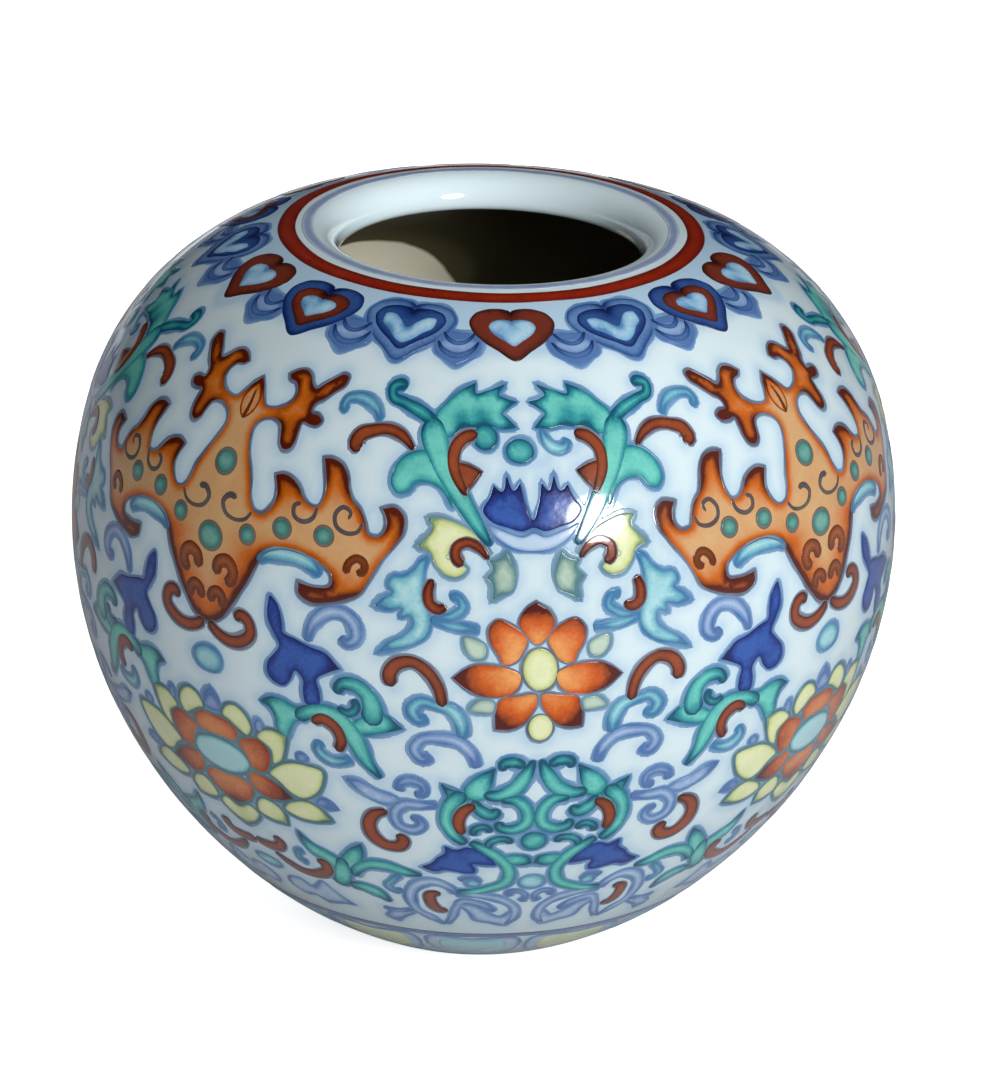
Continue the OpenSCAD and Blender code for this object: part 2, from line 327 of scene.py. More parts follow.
def fill_patch(rim, lift, tone):
    """Domed enamel inside a closed line; tone gives tones for points and their distance from the edge."""
    inward = left_of(rim, True)
    rings = []
    for depth in RING_DEPTHS:
        ring = rim + inward * depth
        ring = ring[inside(ring, rim)]
        if len(ring):
            rings.append(ring[distance(ring, rim) > 0.9 * depth])
    points = np.concatenate([rim, *rings, grid_inside(rim)])
    loop = [(i, (i + 1) % len(rim)) for i in range(len(rim))]
    verts, _, faces, *_ = geometry.delaunay_2d_cdt([Vector(q) for q in points], loop, [], 1, 1e-5)
    flat = np.array([tuple(q) for q in verts])
    faces = np.array(faces)
    a, b, c = (flat[faces[:, k]] for k in range(3))
    turned = (b - a)[:, 0] * (c - a)[:, 1] - (b - a)[:, 1] * (c - a)[:, 0] < 0
    faces[turned] = faces[turned][:, ::-1]
    edge = distance(flat, rim)
    border = edge < 1e-3
    top = np.where(border, -BURY, lift + RISE * (1 - np.exp(-edge / FILL_ROUND)))
    bottom = np.full((~border).sum(), -2 * BURY)
    below = np.arange(len(flat))
    below[~border] = len(flat) + np.arange(len(bottom))
    tones = tone(flat, edge)
    return Patch(np.concatenate([flat, flat[~border]]), np.concatenate([top, bottom]),
                 np.concatenate([tones, tones[~border]]),
                 tris=np.concatenate([faces, below[faces][:, ::-1]]))


def strip(p, n, offsets, lifts, tones, closed):
    """Ribbon along a line: each row has points at offsets to its left, with their lifts and tones."""
    rows, across = offsets.shape
    flat = (p[:, None] + n[:, None] * offsets[..., None]).reshape(-1, 2)
    i = np.arange(rows if closed else rows - 1)[:, None]
    j = np.arange(across - 1)[None]
    here, there = i * across, (i + 1) % rows * across
    top = np.stack([here + j, there + j, there + j + 1, here + j + 1], axis=2).reshape(-1, 4)
    last = across - 1
    bottom = np.stack([here, here + last, there + last, there], axis=2).reshape(-1, 4)
    tris = []
    if not closed:
        end = (rows - 1) * across
        tris = [(0, k, k + 1) for k in range(1, last)]
        tris += [(end, end + k + 1, end + k) for k in range(1, last)]
    return Patch(flat, lifts.reshape(-1), tones.reshape(-1), tris, np.concatenate([top, bottom]))


def brush_line(points):
    """Even points of a brush stroke with half its width, and its narrowing to round ends."""
    rows = trace([(x * FLAT, v, w) for x, v, w in points], [False] * len(points), False)
    p, half = rows[:, :2], np.maximum(rows[:, 2], THIN_STROKE) / 2
    run = np.concatenate([[0], np.cumsum(np.linalg.norm(np.diff(p, axis=0), axis=1))])
    to_end = np.minimum(run, run[-1] - run)
    cap = np.clip(to_end / half, 0, 1)
    return p, half, np.sqrt(1 - (1 - cap)**2)


def stroke_patch(points, lift, tone):
    """Domed brush stroke of enamel."""
    p, half, cap = brush_line(points)
    half = np.maximum(half * cap, STROKE_TIP)
    offsets = half[:, None] * ACROSS
    edge = half[:, None] * (1 - np.abs(ACROSS))
    lifts = np.where(np.abs(ACROSS) == 1, -BURY, lift + RISE * (1 - np.exp(-edge / STROKE_ROUND)))
    tones = tone(np.repeat(p, len(ACROSS), axis=0), edge.reshape(-1))
    return strip(p, left_of(p, False), offsets, lifts, tones, False)


def pressed(p):
    """Share of its width that a drawn line has at its points, as the brush is pressed and lifted."""
    return sway(PRESS, p[:, 0], p[:, 1], middle=1)


def stroke_outline(points, width, lift):
    """Underglaze line round a brush stroke: a wider stroke with a soft edge."""
    p, half, cap = brush_line(points)
    width = width * pressed(p)
    core = half * cap + width
    soft = core + SOFT_EDGE * width
    offsets = np.stack([-soft, -core, -0.7 * core, 0.7 * core, core, soft], axis=1)
    lifts = np.tile([-BURY, SOFT_LIFT * lift, lift, lift, SOFT_LIFT * lift, -BURY], (len(p), 1))
    tones = np.tile([0, SOFT_TONE, 1, 1, SOFT_TONE, 0], (len(p), 1))
    return strip(p, left_of(p, False), offsets, lifts, tones, False)


def rim_outline(rim, width, lift, over):
    """Underglaze line round a blob, with a soft outer edge; it can show over the edge of the enamel."""
    offsets = width * pressed(rim)[:, None] * np.array([-1 - SOFT_EDGE, -1, -0.4, 0, 0])
    offsets[:, 3] = over
    offsets[:, 4] = over + TUCKED
    top = lift + 3 * LINE_LIFT if over else lift
    lifts = np.tile([-BURY, SOFT_LIFT * lift, top, top, -BURY], (len(rim), 1))
    tones = np.tile([0, SOFT_TONE, 1, 1, 1], (len(rim), 1))
    return strip(rim, left_of(rim, True), offsets, lifts, tones, True)


# Marks: what the painter drew, with degrees from an axis and mm up from the widest line
def blob(*outline, pale=0.0, focus=None, pools=()):
    """Outline to fill; focus is the middle of its flower and how far its pale tone reaches."""
    return {"outline": outline, "pale": pale, "focus": focus, "pools": pools}


def line(*points, pale=0.0):
    """Brush stroke through points, each with the width that it has there."""
    return {"stroke": points, "pale": pale, "focus": None}


def dot(x, v, rx, ry, pale=0.0):
    turns = np.radians(np.arange(0, 360, 30))
    return blob(*[(x + rx * math.cos(a), v + ry * math.sin(a)) for a in turns], pale=pale)


def both_sides(*half):
    """Whole outline from its right half, from the axis round to the axis again."""
    back = [[-q[0], q[1]] if isinstance(q, list) else (-q[0], q[1]) for q in half[-2:0:-1]]
    return (*half, *back)


def even(width, *points):
    """Points of a stroke with one width."""
    return [(x, v, width) for x, v in points]


# Axes of the drawing: the orange lotus is on the A axes, the bat and the yellow lotus are on the B axes
A_AXES = [REPEAT * i for i in range(4)]
B_AXES = [a + REPEAT / 2 for a in A_AXES]

GREEN_A = [
    line((5.7, 17.2, 0.8), (8, 20, 1.6), (10.2, 22.8, 2.2), (12.5, 26, 2.8), (13.8, 29, 3.4),
         (14.5, 31, 3)),
    line((13.5, 30.2, 1.6), (16, 31.5, 1.4), (19, 32.5, 1.2), (21.2, 33.2, 1.2), (21.5, 34.2, 1.3),
         (20.3, 34.7, 1.4), (19, 34.4, 1), pale=-0.2),
    blob((11, 21.2), (12.5, 23), (14.5, 23.7), (16.2, 23.5), (17, 22.6), (18.3, 22.2), (19.4, 23.2),
         (19.2, 24.8), (18, 26.3), (16.5, 27), (15, 27.2), (13.5, 26.5)),
    blob((13.6, 29.4), (13.8, 31.2), (12.2, 32.8), (10.2, 34.2), [7.6, 35.3], (7.6, 34), (5.6, 34.3),
         [2.6, 35.2], (3.8, 33.8), (2.8, 33.4), [0.9, 33], (2.6, 32.2), (3.4, 31.6), (2.6, 31), [1.4, 30],
         (3.6, 29.9), (5.6, 30.2), (7.5, 30), (9.5, 29.9), (11.5, 28.8), pools=[(6.8, 31), (9.6, 30.4)]),
    line((0.4, -8, 0.5), (1.5, -10.3, 1.6), (3, -12.2, 1.8), (5, -13, 1.6), (7, -12.8, 1.4)),
    line((1.5, -9, 1), (3, -8.3, 1.3), (4.4, -8.6, 1.2), (4.3, -9.5, 0.8)),
    blob((9.5, -12), (8.5, -10.8), (7, -9.8), [5.4, -9], (5.8, -10.8), (6.2, -12.2), (7, -13.5),
         (9, -13.5)),
    blob((9, -13), (10.8, -12.2), [12.6, -11.4], (11.8, -13.2), (11, -15), (9.5, -15)),
    line((9.5, -12.5, 2.5), (11.8, -15, 1.6), (12.2, -17, 1.5), (11.5, -19, 1.4), (9.5, -21, 1.5)),
    line((8.4, -13.6, 1), (7.4, -15.2, 1.5), (5.8, -15.9, 1.6), (4.9, -14.9, 1.1)),
    line((4.8, -13.5, 1.2), (2.5, -13.8, 1.4), (1, -15.5, 1.5), (1.2, -17.5, 1.5), (3, -18.4, 1.4),
         (4.8, -17.8, 1.3), (4.6, -16.9, 0.8)),
    line((9, -20.5, 1.2), (7.5, -21.5, 1.4), (5, -23.5, 1.6), (3.5, -26, 1.6), (4, -28.5, 1.6),
         (6.5, -30, 1.5), (9.5, -31, 1.4), (12, -31.2, 1.2)),
    line(*even(0.9, (8.5, -19.5), (8.3, -18.4), (6.8, -17.9), (5.8, -18.8))),
    line(*even(1, (6.5, -22), (6.3, -20.8), (5, -20), (3.5, -20.2), (3.3, -20.9))),
    blob([0, -24.6], (0.8, -23.3), (2.5, -22.9), (4.5, -23.6), (3.5, -24.6), (2, -25)),
]
GREEN_A_MIDDLE = [
    dot(-1.2, 27.4, 2, 1.3, pale=-0.2),
    dot(-6.2, 28.9, 1.8, 1.4, pale=-0.3),
    dot(0, -20.4, 1.8, 1.5, pale=-0.2),
]
GREEN_B = [
    line((19.5, -1.2, 1), (20.3, 0, 1.3), (22, 0.2, 1.5), (23.7, -0.8, 1.8), (24.3, -2.6, 2.4),
         (23.8, -4.5, 2.8)),
    line(*even(0.9, (19.5, -3), (21, -3.4), (22.2, -2.5), (21.8, -1.5))),
    blob((23, -3.5), (24.5, -2.6), (26.5, -3.2), [28, -4.4], (25.5, -5.2), (22.5, -5.8), (20.5, -5.6)),
    blob((15.5, -3.6), (13.5, -3.8), (11.5, -3.3), (9.8, -3.4), [8.4, -4.2], (9.8, -4.8), (10.4, -6),
         (10.5, -7.5), (11.8, -8.3), (12.6, -7), (13.3, -6), (14.8, -5)),
    line((13.5, -5.2, 2), (16, -4, 1.6), (18.5, -3.8, 1.8), (20.5, -5, 2.2), (21.8, -7, 2.2),
         (22.6, -9, 1.6), (24.5, -11.5, 0.4)),
    blob((16.2, -29), (15.8, -27), (16.8, -25.4), (18.6, -23.8), [19.8, -23], (19.8, -24.8), (19, -26.8),
         (18, -28.6)),
    blob((15, -29.5), (12.8, -28), (10.8, -27), (9.8, -25.2), [9.6, -23.2], (11.5, -25), (13.6, -26),
         (15.6, -27.2)),
    line((16, -26.5, 1.5), (15.5, -29, 2.4), (14.8, -31, 2.6), (13.5, -33, 1.8)),
    line((17, -30, 1.2), (18, -28.4, 1.6), (20, -27, 1.6), (23, -26.6, 1.8), (26, -27.4, 1.6),
         (28.5, -27.8, 0.5)),
    line((15.5, -32.5, 1.4), (18, -32.3, 1.8), (20.5, -33.3, 1.8), (22, -35.2, 0.5)),
]
TURQUOISE_A = [
    line((22.2, 30, 0.8), (23.3, 31.4, 1), (25, 32.2, 1.1), (27, 32.4, 1.1), (28.6, 31.9, 1.2),
         (28.8, 31, 1.2), (27.8, 30.7, 0.9)),
    blob([13.5, 16], (15, 15.2), (15.8, 14), (17, 13.2), (18.5, 13), (19, 12), (18.3, 11.3), (19.5, 10.6),
         [20.7, 9.5], (18.5, 9.3), (17, 9.6), (17.2, 8.6), (15.9, 8.9), (15.5, 8), (16.5, 6.8), (18.5, 5.7),
         [20.2, 4.2], (17.5, 5), (15, 5.8), (13.7, 6.8), (13.2, 8), (13.4, 9.5), (14, 11), (14.3, 13)),
    line((13.3, 8.8, 1.2), (11, 8.2, 1), (8.5, 8, 0.8), (7, 7.9, 0.6)),
    line(*even(1, (13, 9), (10.5, 9.3), (9.2, 10.4), (10, 11.5), (11, 11.3))),
    line((9.5, -5.2, 1.3), (9.7, -3, 1.6), (10.8, -1.6, 1.5), (12.5, -1.2, 1.2), (14.5, -0.9, 1.3),
         (15.6, -2, 1.4), (14.8, -3.1, 1.2), (13.7, -2.6, 0.8)),
    dot(9, -29, 1, 0.7),
    line((20, -28, 1), (21.5, -29.6, 1), (22.5, -31, 1), (21.3, -32, 1), (20.2, -31.3, 0.8)),
]
TURQUOISE_A_MIDDLE = [
    dot(0, -28.5, 2, 1.5),
    line((2.4, 30, 0.8), (2.7, 28.7, 1.2), (4, 27.7, 1.3), (5.6, 27.8, 1.1), (6.2, 28.7, 0.8), pale=0.2),
]
TURQUOISE_B = [
    line((7.8, 12.2, 0.8), (9.5, 13.2, 1.5), (12.5, 13.6, 1.7), (15.5, 13.1, 1.6), (17.2, 12, 1)),
    line((16.8, -7.6, 1), (16.3, -9, 1.4), (17.5, -10, 1.4), (19.5, -9.9, 1.2), (20.8, -9.2, 1)),
    line(*even(0.9, (9.5, -27), (8.2, -27.6), (8, -29), (9.4, -29.8))),
]
TURQUOISE_B_MIDDLE = [dot(0, -1, 2.4, 1.6, pale=-0.1), dot(0, -32.4, 2.6, 1.2, pale=-0.1)]
YELLOW_A = [
    blob((5.8, 16.4), (8, 18.6), (10.5, 19.6), (13, 20), [14.4, 19.8], (13.6, 18.9), (14.9, 17.2),
         [15.5, 16.6], (13.8, 16), (13, 14.8), (11.5, 13.7), (10, 13.6), (8.8, 14.6), (10, 15.4),
         (11, 16.5), (9.5, 17.4), (7.5, 17.2)),
]
SAGE_A = [
    blob([3.6, 16.8], (4.6, 16), [6.2, 15.7], (5.5, 14.8), [6.4, 13.8], (5.6, 13.1), [5.6, 11.2],
         (4.3, 11.9), (3, 12.4), (2.5, 13.6), (2.8, 15.2)),
    dot(11.2, 15.8, 1, 0.8),
    blob((9, 7), (8.9, 5.5), (7.8, 4.5), (6.6, 4.7), (6.3, 6), (7.5, 6.8), pale=0.3),
    blob((8.5, -1.6), (7.2, -0.3), (5.5, -0.6), (5.6, -1.8), (7, -1.9), pale=0.3),
]
COBALT_A = [
    blob((12.7, -21.5), (12.8, -22.8), (14, -23.8), (14.8, -24.8), [16.8, -26], (14.5, -26.8), (13, -26.4),
         (11.5, -26.6), (10, -26.9), (8.6, -26.7), (8.4, -25.8), (8.8, -25), (7, -25), (5.3, -25),
         (6, -23.5), (7.5, -22), (9.5, -21.5), (11, -22)),
]
COBALT_A_MIDDLE = [
    blob(*both_sides((0, 20.1), (0.8, 21.6), [1.5, 24.2], (2.4, 23.2), [3.4, 25], (4.2, 23.1), [5.3, 23.8],
                     (5.9, 22.4), (6.9, 21), (5.8, 19.8), (3.6, 19.2), (1.4, 18.8), (0, 19.2))),
]
COBALT_B = [
    blob((10, 8.8), (11.3, 8), (12, 6), (12.2, 5), (14, 4.5), (16, 3.9), (18, 3.5), [20.3, 1.8], (18.4, 1),
         (17, 0.1), (17.3, -1.4), (17.2, -3), (15.2, -3.3), (14.8, -1.6), (14.9, -0.3), (13.9, 0.6),
         (13.2, -0.6), (12.2, -1.5), (10.8, -1.4), (9.7, -0.4), (9.7, 1), (10.8, 2.3), (11.5, 3.2),
         (10.8, 4.5), (9.8, 6), (9.7, 7.8)),
]
PERIWINKLE_A = [
    line((7.7, -9, 0.8), (8.5, -7, 1.2), (10.3, -5.5, 1.3), (12.5, -5.2, 1.2), (14.8, -5.6, 1.2),
         (15.7, -7, 1.3), (14.7, -8.1, 1.2), (13.6, -7.4, 0.8)),
    line(*even(0.7, (8, -28.8), (8.6, -27.8), (10, -27.8), (11, -28.5)), pale=-0.3),
    line((11.5, -31.5, 1.2), (13, -29.8, 1.4), (15, -29, 1.5), (17.5, -29.8, 1.5), (19, -31.8, 1.4),
         (19.4, -34, 1.3), (18.7, -36.5, 1.3), (16.5, -38.5, 1.1), (14.4, -40.4, 0.5)),
    line(*even(1.1, (14.2, -40.3), (13, -38), (12, -35), (11, -33.5), (8, -34), (5.5, -36))),
    line((12, -31.5, 1), (8, -31.8, 1.2), (4.5, -32.8, 1.3), (2.3, -35, 1.3), (2.2, -37.5, 1.3),
         (3.5, -40, 0.8)),
    line(*even(0.9, (1.5, -33.3), (0.7, -31.8), (2, -30.6), (3.5, -31), (3.2, -32))),
    blob((12, -34), (9, -34.5), (6.5, -36.5), (4.5, -37.5), (3, -36), (3.2, -40.3), (6, -39.5), (9, -38.5),
         (10, -36.5), pale=-0.1),
    blob([25.8, -12.3], (24, -12.2), (21.5, -13.2), (19.5, -13.8), (18.5, -14.5), (20, -15.2),
         (22.5, -14.8), (24.5, -13.6)),
    line(*even(0.9, (18.3, -13), (18, -11.8), (16.6, -11.2), (15, -11.8), (15, -13), (16.3, -13.2))),
    line((13, -14.5, 0.9), (15.5, -14.8, 1.2), (18, -15, 1.3), (19.3, -16.5, 1.3), (18.8, -18.5, 1.3),
         (16.8, -19, 1.2), (15.6, -18, 1.1), (16.2, -17, 0.9), (17.2, -17, 0.7)),
    blob((19, -37), (21, -38.6), [23.2, -40.8], (25, -39.5), (24, -38), (22, -37.2), pale=-0.1),
    line(*even(0.9, (25, -37), (22, -37.5), (19.5, -36.5))),
]
PERIWINKLE_A_MIDDLE = [
    blob(*both_sides((0, 16.7), (2.6, 17), (4.8, 18), [7, 19.9], (5, 19.2), (3.4, 18.7), (1.4, 18.3),
                     (0, 18.7)), pale=0.4),
]
PERIWINKLE_B = [
    line((15.5, 4.4, 0.8), (16.4, 6.6, 1.2), (18.2, 8, 1.4), (20.4, 8.2, 1.3), (22, 7, 1.3),
         (22.2, 5.6, 1.3), (21.1, 4.9, 1.1), (20.1, 5.5, 0.7)),
    blob((1.5, -37), (3, -35), (5, -34.6), (7, -36), (8.5, -35), (10, -33.5), (11.5, -35), (12.5, -36.5),
         [14.5, -38.2], (11, -38.6), [8, -39.8], (6, -38.5), (3.5, -39)),
    blob((7, -8.6), (7, -7.4), (7.6, -6.8), (8.3, -7.4), (8, -8.8), pale=-0.3),
    blob((12.8, -11.2), (12.8, -10.4), (13.6, -10), (14.4, -10.6), (14, -11.4), pale=-0.3),
    blob((14.2, -17.4), (15, -16.4), (16.6, -16.6), [17.6, -17.6], (16, -18), pale=-0.3),
]
PERIWINKLE_B_MIDDLE = [blob(*both_sides([0, -4.6], (1.2, -5.8), (1.5, -7.6), (0, -7.8)), pale=-0.3)]
IRON_A = [
    line((7.3, 29.3, 0.9), (9.4, 28.7, 1.3), (10.7, 27.4, 1.4), (10.8, 25.6, 1.3), (10, 23.9, 1),
         (9, 22.5, 0.4)),
    blob((10.6, 25.9), (9.2, 25.8), [6.9, 25.1], (8, 24), (9, 23), [9.3, 22.3], (10.2, 23.6), (10.8, 24.8)),
    line((16.6, 27.1, 0.3), (18.3, 28.5, 0.9), (20.5, 29.2, 1), (23, 28.9, 1.2), (25, 28, 1.6),
         (25.3, 27, 1.7), (24.3, 26.6, 1)),
    line((6, 15.8, 0.3), (7.3, 17, 0.7), (9, 17.5, 0.8), (10.3, 16.8, 0.9), (10.2, 15.6, 1),
         (9.3, 15, 0.8)),
    line((13.2, 13.2, 0.5), (13.7, 11.8, 0.9), (13.4, 10.4, 1), (12.2, 9.9, 1), (11.3, 10.4, 0.6)),
    line((11.8, -1.3, 1), (12.3, 1, 1), (13.5, 2.7, 1.1), (15.5, 3.7, 1.1), (17.5, 3.2, 1.3),
         (18.4, 1.8, 1.4), (18, 0.6, 1.2)),
    line((8.1, -14.3, 1), (9.8, -15.5, 1.3), (10.5, -17.2, 1.3), (10, -19.3, 0.9)),
    line((14.2, -31.5, 0.7), (15.8, -32, 1.4), (16.1, -34, 1.5), (15, -35.9, 1.3), (13.5, -36, 0.7)),
    line((20.3, -16.3, 0.7), (22.3, -17.2, 1.2), (23.3, -19, 1.5), (22.8, -21.2, 1.7), (21, -22.4, 1.6),
         (19, -22, 1.6), (18.6, -20.8, 1.4), (19.6, -20.3, 1)),
]
IRON_B = [
    line((0.4, 3.6, 0.9), (2, 2.6, 1.1), (4, 2.2, 1.2), (5.8, 2.6, 1.2), (7.2, 3.8, 1.2), (6.8, 5.2, 1.2),
         (5.6, 5.6, 1.1), (4.8, 4.9, 0.7)),
    line((15.8, -5.4, 0.8), (17.3, -4.7, 1.2), (19, -5.4, 1.2), (19.7, -7, 1.1), (19, -8.7, 0.8)),
    line((3, -29.5, 0.4), (5, -31, 1), (7.5, -32, 1.3), (10.5, -31.6, 1.5), (12.6, -30, 1.5),
         (12.4, -28.6, 1.4), (11.2, -28.9, 0.8)),
    line((0, -28, 1.2), (2.5, -28.3, 1.3), (4.8, -27.8, 1.4), (5.4, -26.8, 1.3), (4.4, -25.9, 0.8)),
]
LOTUS_AT = (0.2, 3.3, 9)
LOTUS_PETALS = [
    blob((1.2, 6.8), (3, 8.6), (5, 9.2), (6, 8.2), (5.9, 6.5), (4.9, 5), (4.3, 3.9), (2.5, 4.4), (1.8, 5.4),
         focus=LOTUS_AT),
    blob((2.2, 2.8), (3.8, 3.6), (5.5, 3.9), (7.5, 3.9), (9.3, 3.2), [10.6, 2.2], (9, 1), (7.2, 0.2),
         (5, 0), (3, 0.6), focus=LOTUS_AT),
    blob((0.3, 0.2), (2.5, 0.2), (4.8, -0.2), (5.4, -1.5), [5.5, -4], (3.5, -4), (2, -3.4), (0.8, -2),
         (0.2, -0.8), focus=LOTUS_AT),
]
LOTUS_TOP = [blob(*both_sides((0, 6.2), (1.4, 7.2), (2.3, 8.8), (1.5, 10.3), [0, 11.2]), focus=LOTUS_AT)]
LOTUS_HEART = [dot(0.2, 3.3, 2.2, 2.6), dot(0.2, -3.9, 1.6, 1.7, pale=0.2)]
YELLOW_AT = (0, -14, 12)
YELLOW_INNER = [
    blob((3.6, -10.9), (5, -10.1), (7.5, -9.8), (8.7, -11), (8.4, -13), (7.2, -14.6), (5.3, -14.5),
         (4.6, -12.8), focus=YELLOW_AT),
    blob((4.3, -15.4), (6.2, -15.1), (8.5, -15.7), [10.9, -17.6], (8.8, -18.5), (6.5, -18.8), (4.9, -18),
         (4, -16.7), focus=YELLOW_AT),
]
YELLOW_INNER_MIDDLE = [
    blob(*both_sides((0, -8.3), (2.2, -8.4), (3.9, -9.6), (3.1, -11.1), (1.6, -11.2), (0, -11.2)),
         focus=YELLOW_AT),
    blob(*both_sides((0, -16.9), (2.6, -16.8), (4.3, -17.8), (3.6, -19.5), (1.6, -21), [0, -21.6]),
         focus=YELLOW_AT),
]
YELLOW_PETALS = [
    blob((1.7, -7.9), (2.4, -6.4), (4, -5.9), (5.6, -6.8), (6.3, -8.6), (5.4, -9.7), (4, -9.1),
         (2.7, -8.3)),
    blob((7, -9.3), (8.2, -8.2), (10.2, -7.8), [11.8, -8.2], (11.2, -10.2), (10, -12.3), (9, -12.8),
         (8.9, -10.8)),
    blob((7.9, -14.6), (9.4, -13), (11.4, -12), (14, -11.7), (16.2, -12.1), (15.9, -14), (14.2, -16.2),
         (12, -17.2), (10.9, -16.9), (9, -15.3)),
    blob((9.4, -18.8), (10.8, -18), (12.8, -17.5), (14.8, -18.3), [16, -19.8], (13, -20.7), (10.5, -20.6),
         (8.8, -19.7)),
    blob((4.2, -19.9), (5.2, -19.1), (7, -19.3), (8.4, -20.6), [8.4, -22.6], (6, -22.5), (3.8, -21.6)),
]
YELLOW_PETALS_MIDDLE = [blob(*both_sides([0, -25.2], (2.2, -24), (3.5, -22.2), (2.4, -21.2), (0, -22.1)))]
YELLOW_HEART = [dot(0, -14, 4.8, 2.4, pale=0.25)]

BAT_HALF = (
    [0, 3.4], (2, 4), (4, 5.9), (5.6, 8), (7, 10), (8, 11.8), (8.8, 13), (11, 14), (14, 14), (16.8, 13.3),
    (18.4, 12.2), (18.4, 11.2), (16.6, 10.8), [13.9, 11], (14, 9.6), (15.6, 8.8), (18.2, 9), (20.7, 9.7),
    (22.7, 10.7), (23.6, 12.2), (25, 14.4), (26.6, 16.2), (27.8, 18.1), (27.8, 19.7), (26.6, 20.7),
    [24.4, 20.4], (25.1, 19.4), (25.2, 18.2), (24.4, 17.3), (23.1, 17.4), (22.7, 18.6), (21.8, 20),
    (20.6, 20.9), (20, 22), (19.5, 23.4), (18.3, 24.7), (16.7, 25.1), [15.2, 24.9], (15.8, 23.7),
    (16.3, 22.2), (16.3, 20.6), (15.7, 19.5), (14.7, 19.5), (13.6, 20.2), (12.6, 21.3), (11.3, 22),
    (9.8, 22.2), [8.5, 21.8], (9.1, 20.6), (9.4, 19.4), (8.9, 18.2), (7.7, 17.3), (6.5, 17.5), (5.7, 18.6),
    (5.2, 20.2), (4.4, 21.7), (3.5, 23.2), (2.8, 24.6), (2.6, 25.8), (3.1, 26.7), (4.2, 27.3), (5.6, 27.5),
    (6.8, 27.1), (7.3, 26.1), (7.7, 25.1), (8.6, 24.5), (9.8, 24.8), (10.3, 25.8), (10.3, 27), (10.4, 28),
    (11.6, 27.9), (13, 28.1), (13.5, 28.8), (12.6, 29.4), (11.2, 29.6), (11.3, 30.3), (12.6, 31.3),
    (14, 32.4), (15.3, 33.6), (15.3, 34.6), (14.2, 34.9), (12.8, 34.2), (11.4, 33.2), (10.3, 32.4),
    (9.5, 32.8), (8.6, 33.7), (7.2, 34.3), (5.6, 34), [4.3, 33.1], (5, 32.5), (6.4, 32.2), (7.2, 31.3),
    (7.1, 30.2), (6, 29.3), (4.4, 28.8), (3, 28.8), (2.2, 29.6), (1.2, 30.9), [0, 32],
)
# Where the brick red gathers on the bat: ends of its limbs, besides its sharp tips
BAT_ENDS = [(8.7, 24.6), (14.6, 9.8), (17, 9.2), (20, 9.6), (26.8, 19.8), (10.6, 21.6), (17, 24.4),
            (19.6, 23.4), (5.6, 33.4), (14, 33.6), (12, 28.6), (10.2, 31.2), (8.9, 27), (7.4, 11.4),
            (6.2, 9.6), (5, 7.8), (3.4, 6), (1.6, 4.6)]
BAT = [blob(*both_sides(*BAT_HALF), pools=[(side * x, v) for x, v in BAT_ENDS for side in (1, -1)])]
BAT_SPOTS = [(6, 14.6, 1.2, 1), (11.1, 16.3, 1.3, 1.05), (17.1, 16.4, 1.3, 1.05)]
BAT_SPOTS_MIDDLE = [(0, 21.5, 1.8, 1.4), (0, 13.2, 2, 1.5)]
SPOT_RIM = 0.34
BAT_CURLS = [
    line((3.5, 18.1, 0.8), (2.2, 18.2, 0.8), (1.3, 17.3, 0.7), (1.9, 16.3, 0.6), (3.6, 15.8, 0.5),
         (5.4, 16.2, 0.5), (6.3, 17.2, 0.4)),
    line((22.3, 18.6, 0.4), (21.6, 17.4, 0.5), (20.1, 17.1, 0.6), (18.7, 17.7, 0.6), (18.4, 19, 0.6),
         (19.4, 19.9, 0.6), (20.5, 19.4, 0.5), (20.2, 18.6, 0.4)),
    line((15.8, 19.4, 0.4), (15.3, 18.1, 0.6), (13.9, 17.5, 0.6), (12.6, 18, 0.6), (12.5, 19.1, 0.6),
         (13.5, 19.5, 0.5)),
]
BAT_BROWN = [
    line(*even(1.1, (20.4, 12.6), (20.8, 13.9), (21.9, 14.5), (22.9, 13.9), (22.6, 13), (21.8, 13.1))),
    line(*even(1.7, (1.5, 9.2), (1.9, 10.7), (3.3, 11.1), (4.3, 10.2), (3.9, 9.1), (2.9, 9.1))),
    line(*even(1.5, (0.8, 5.9), (1, 7), (2, 7.4), (2.8, 6.7), (2.3, 5.8))),
]
BAT_BUD = [blob(*both_sides([0, 31.7], (1.1, 30.4), (1.8, 29), (1.6, 27.8), (0.8, 26.8), (0, 26.4)),
                pale=-0.1)]
BAT_BUD_VEIN = [line((0, 26.6, 0.7), (0.2, 28.2, 0.6), (0, 30.2, 0.3))]

# Collar of hearts under the red band: R is red, B is blue, C is red on dark blue
HEARTS = "RBCRBCRBCBRCBRCB"
COLLAR_STEP = 360 / len(HEARTS)
COLLAR_TURN = -0.2


def heart(half_w, tip, top, pools=()):
    """Heart that points down, with a sharp notch and a soft tip."""
    turns = np.radians([a for a in range(0, 360, 15) if not 0 < abs(a - 180) < 40])
    ys = 0.85 * np.cos(turns) - 0.2 * np.cos(2 * turns) - 0.1 * np.cos(3 * turns)
    ys = tip + (top - tip) * (ys - ys.min()) / (ys.max() - ys.min())
    points = [(half_w * math.sin(a)**3, y) for a, y in zip(turns, ys)]
    points[0] = list(points[0])
    return blob(*points, pools=pools)


def pale_heart(half_w, tip, top):
    """Middle of a heart, with blue shade under its notch and on its left."""
    return heart(half_w, tip, top, [(0, top - 0.8), (-0.5 * half_w, (tip + top) / 2)])


def hearts(kind, mark):
    """The mark on each heart of a kind."""
    axes = [COLLAR_STEP * i + COLLAR_TURN for i, k in enumerate(HEARTS) if k == kind]
    return [([mark], axes, False)]


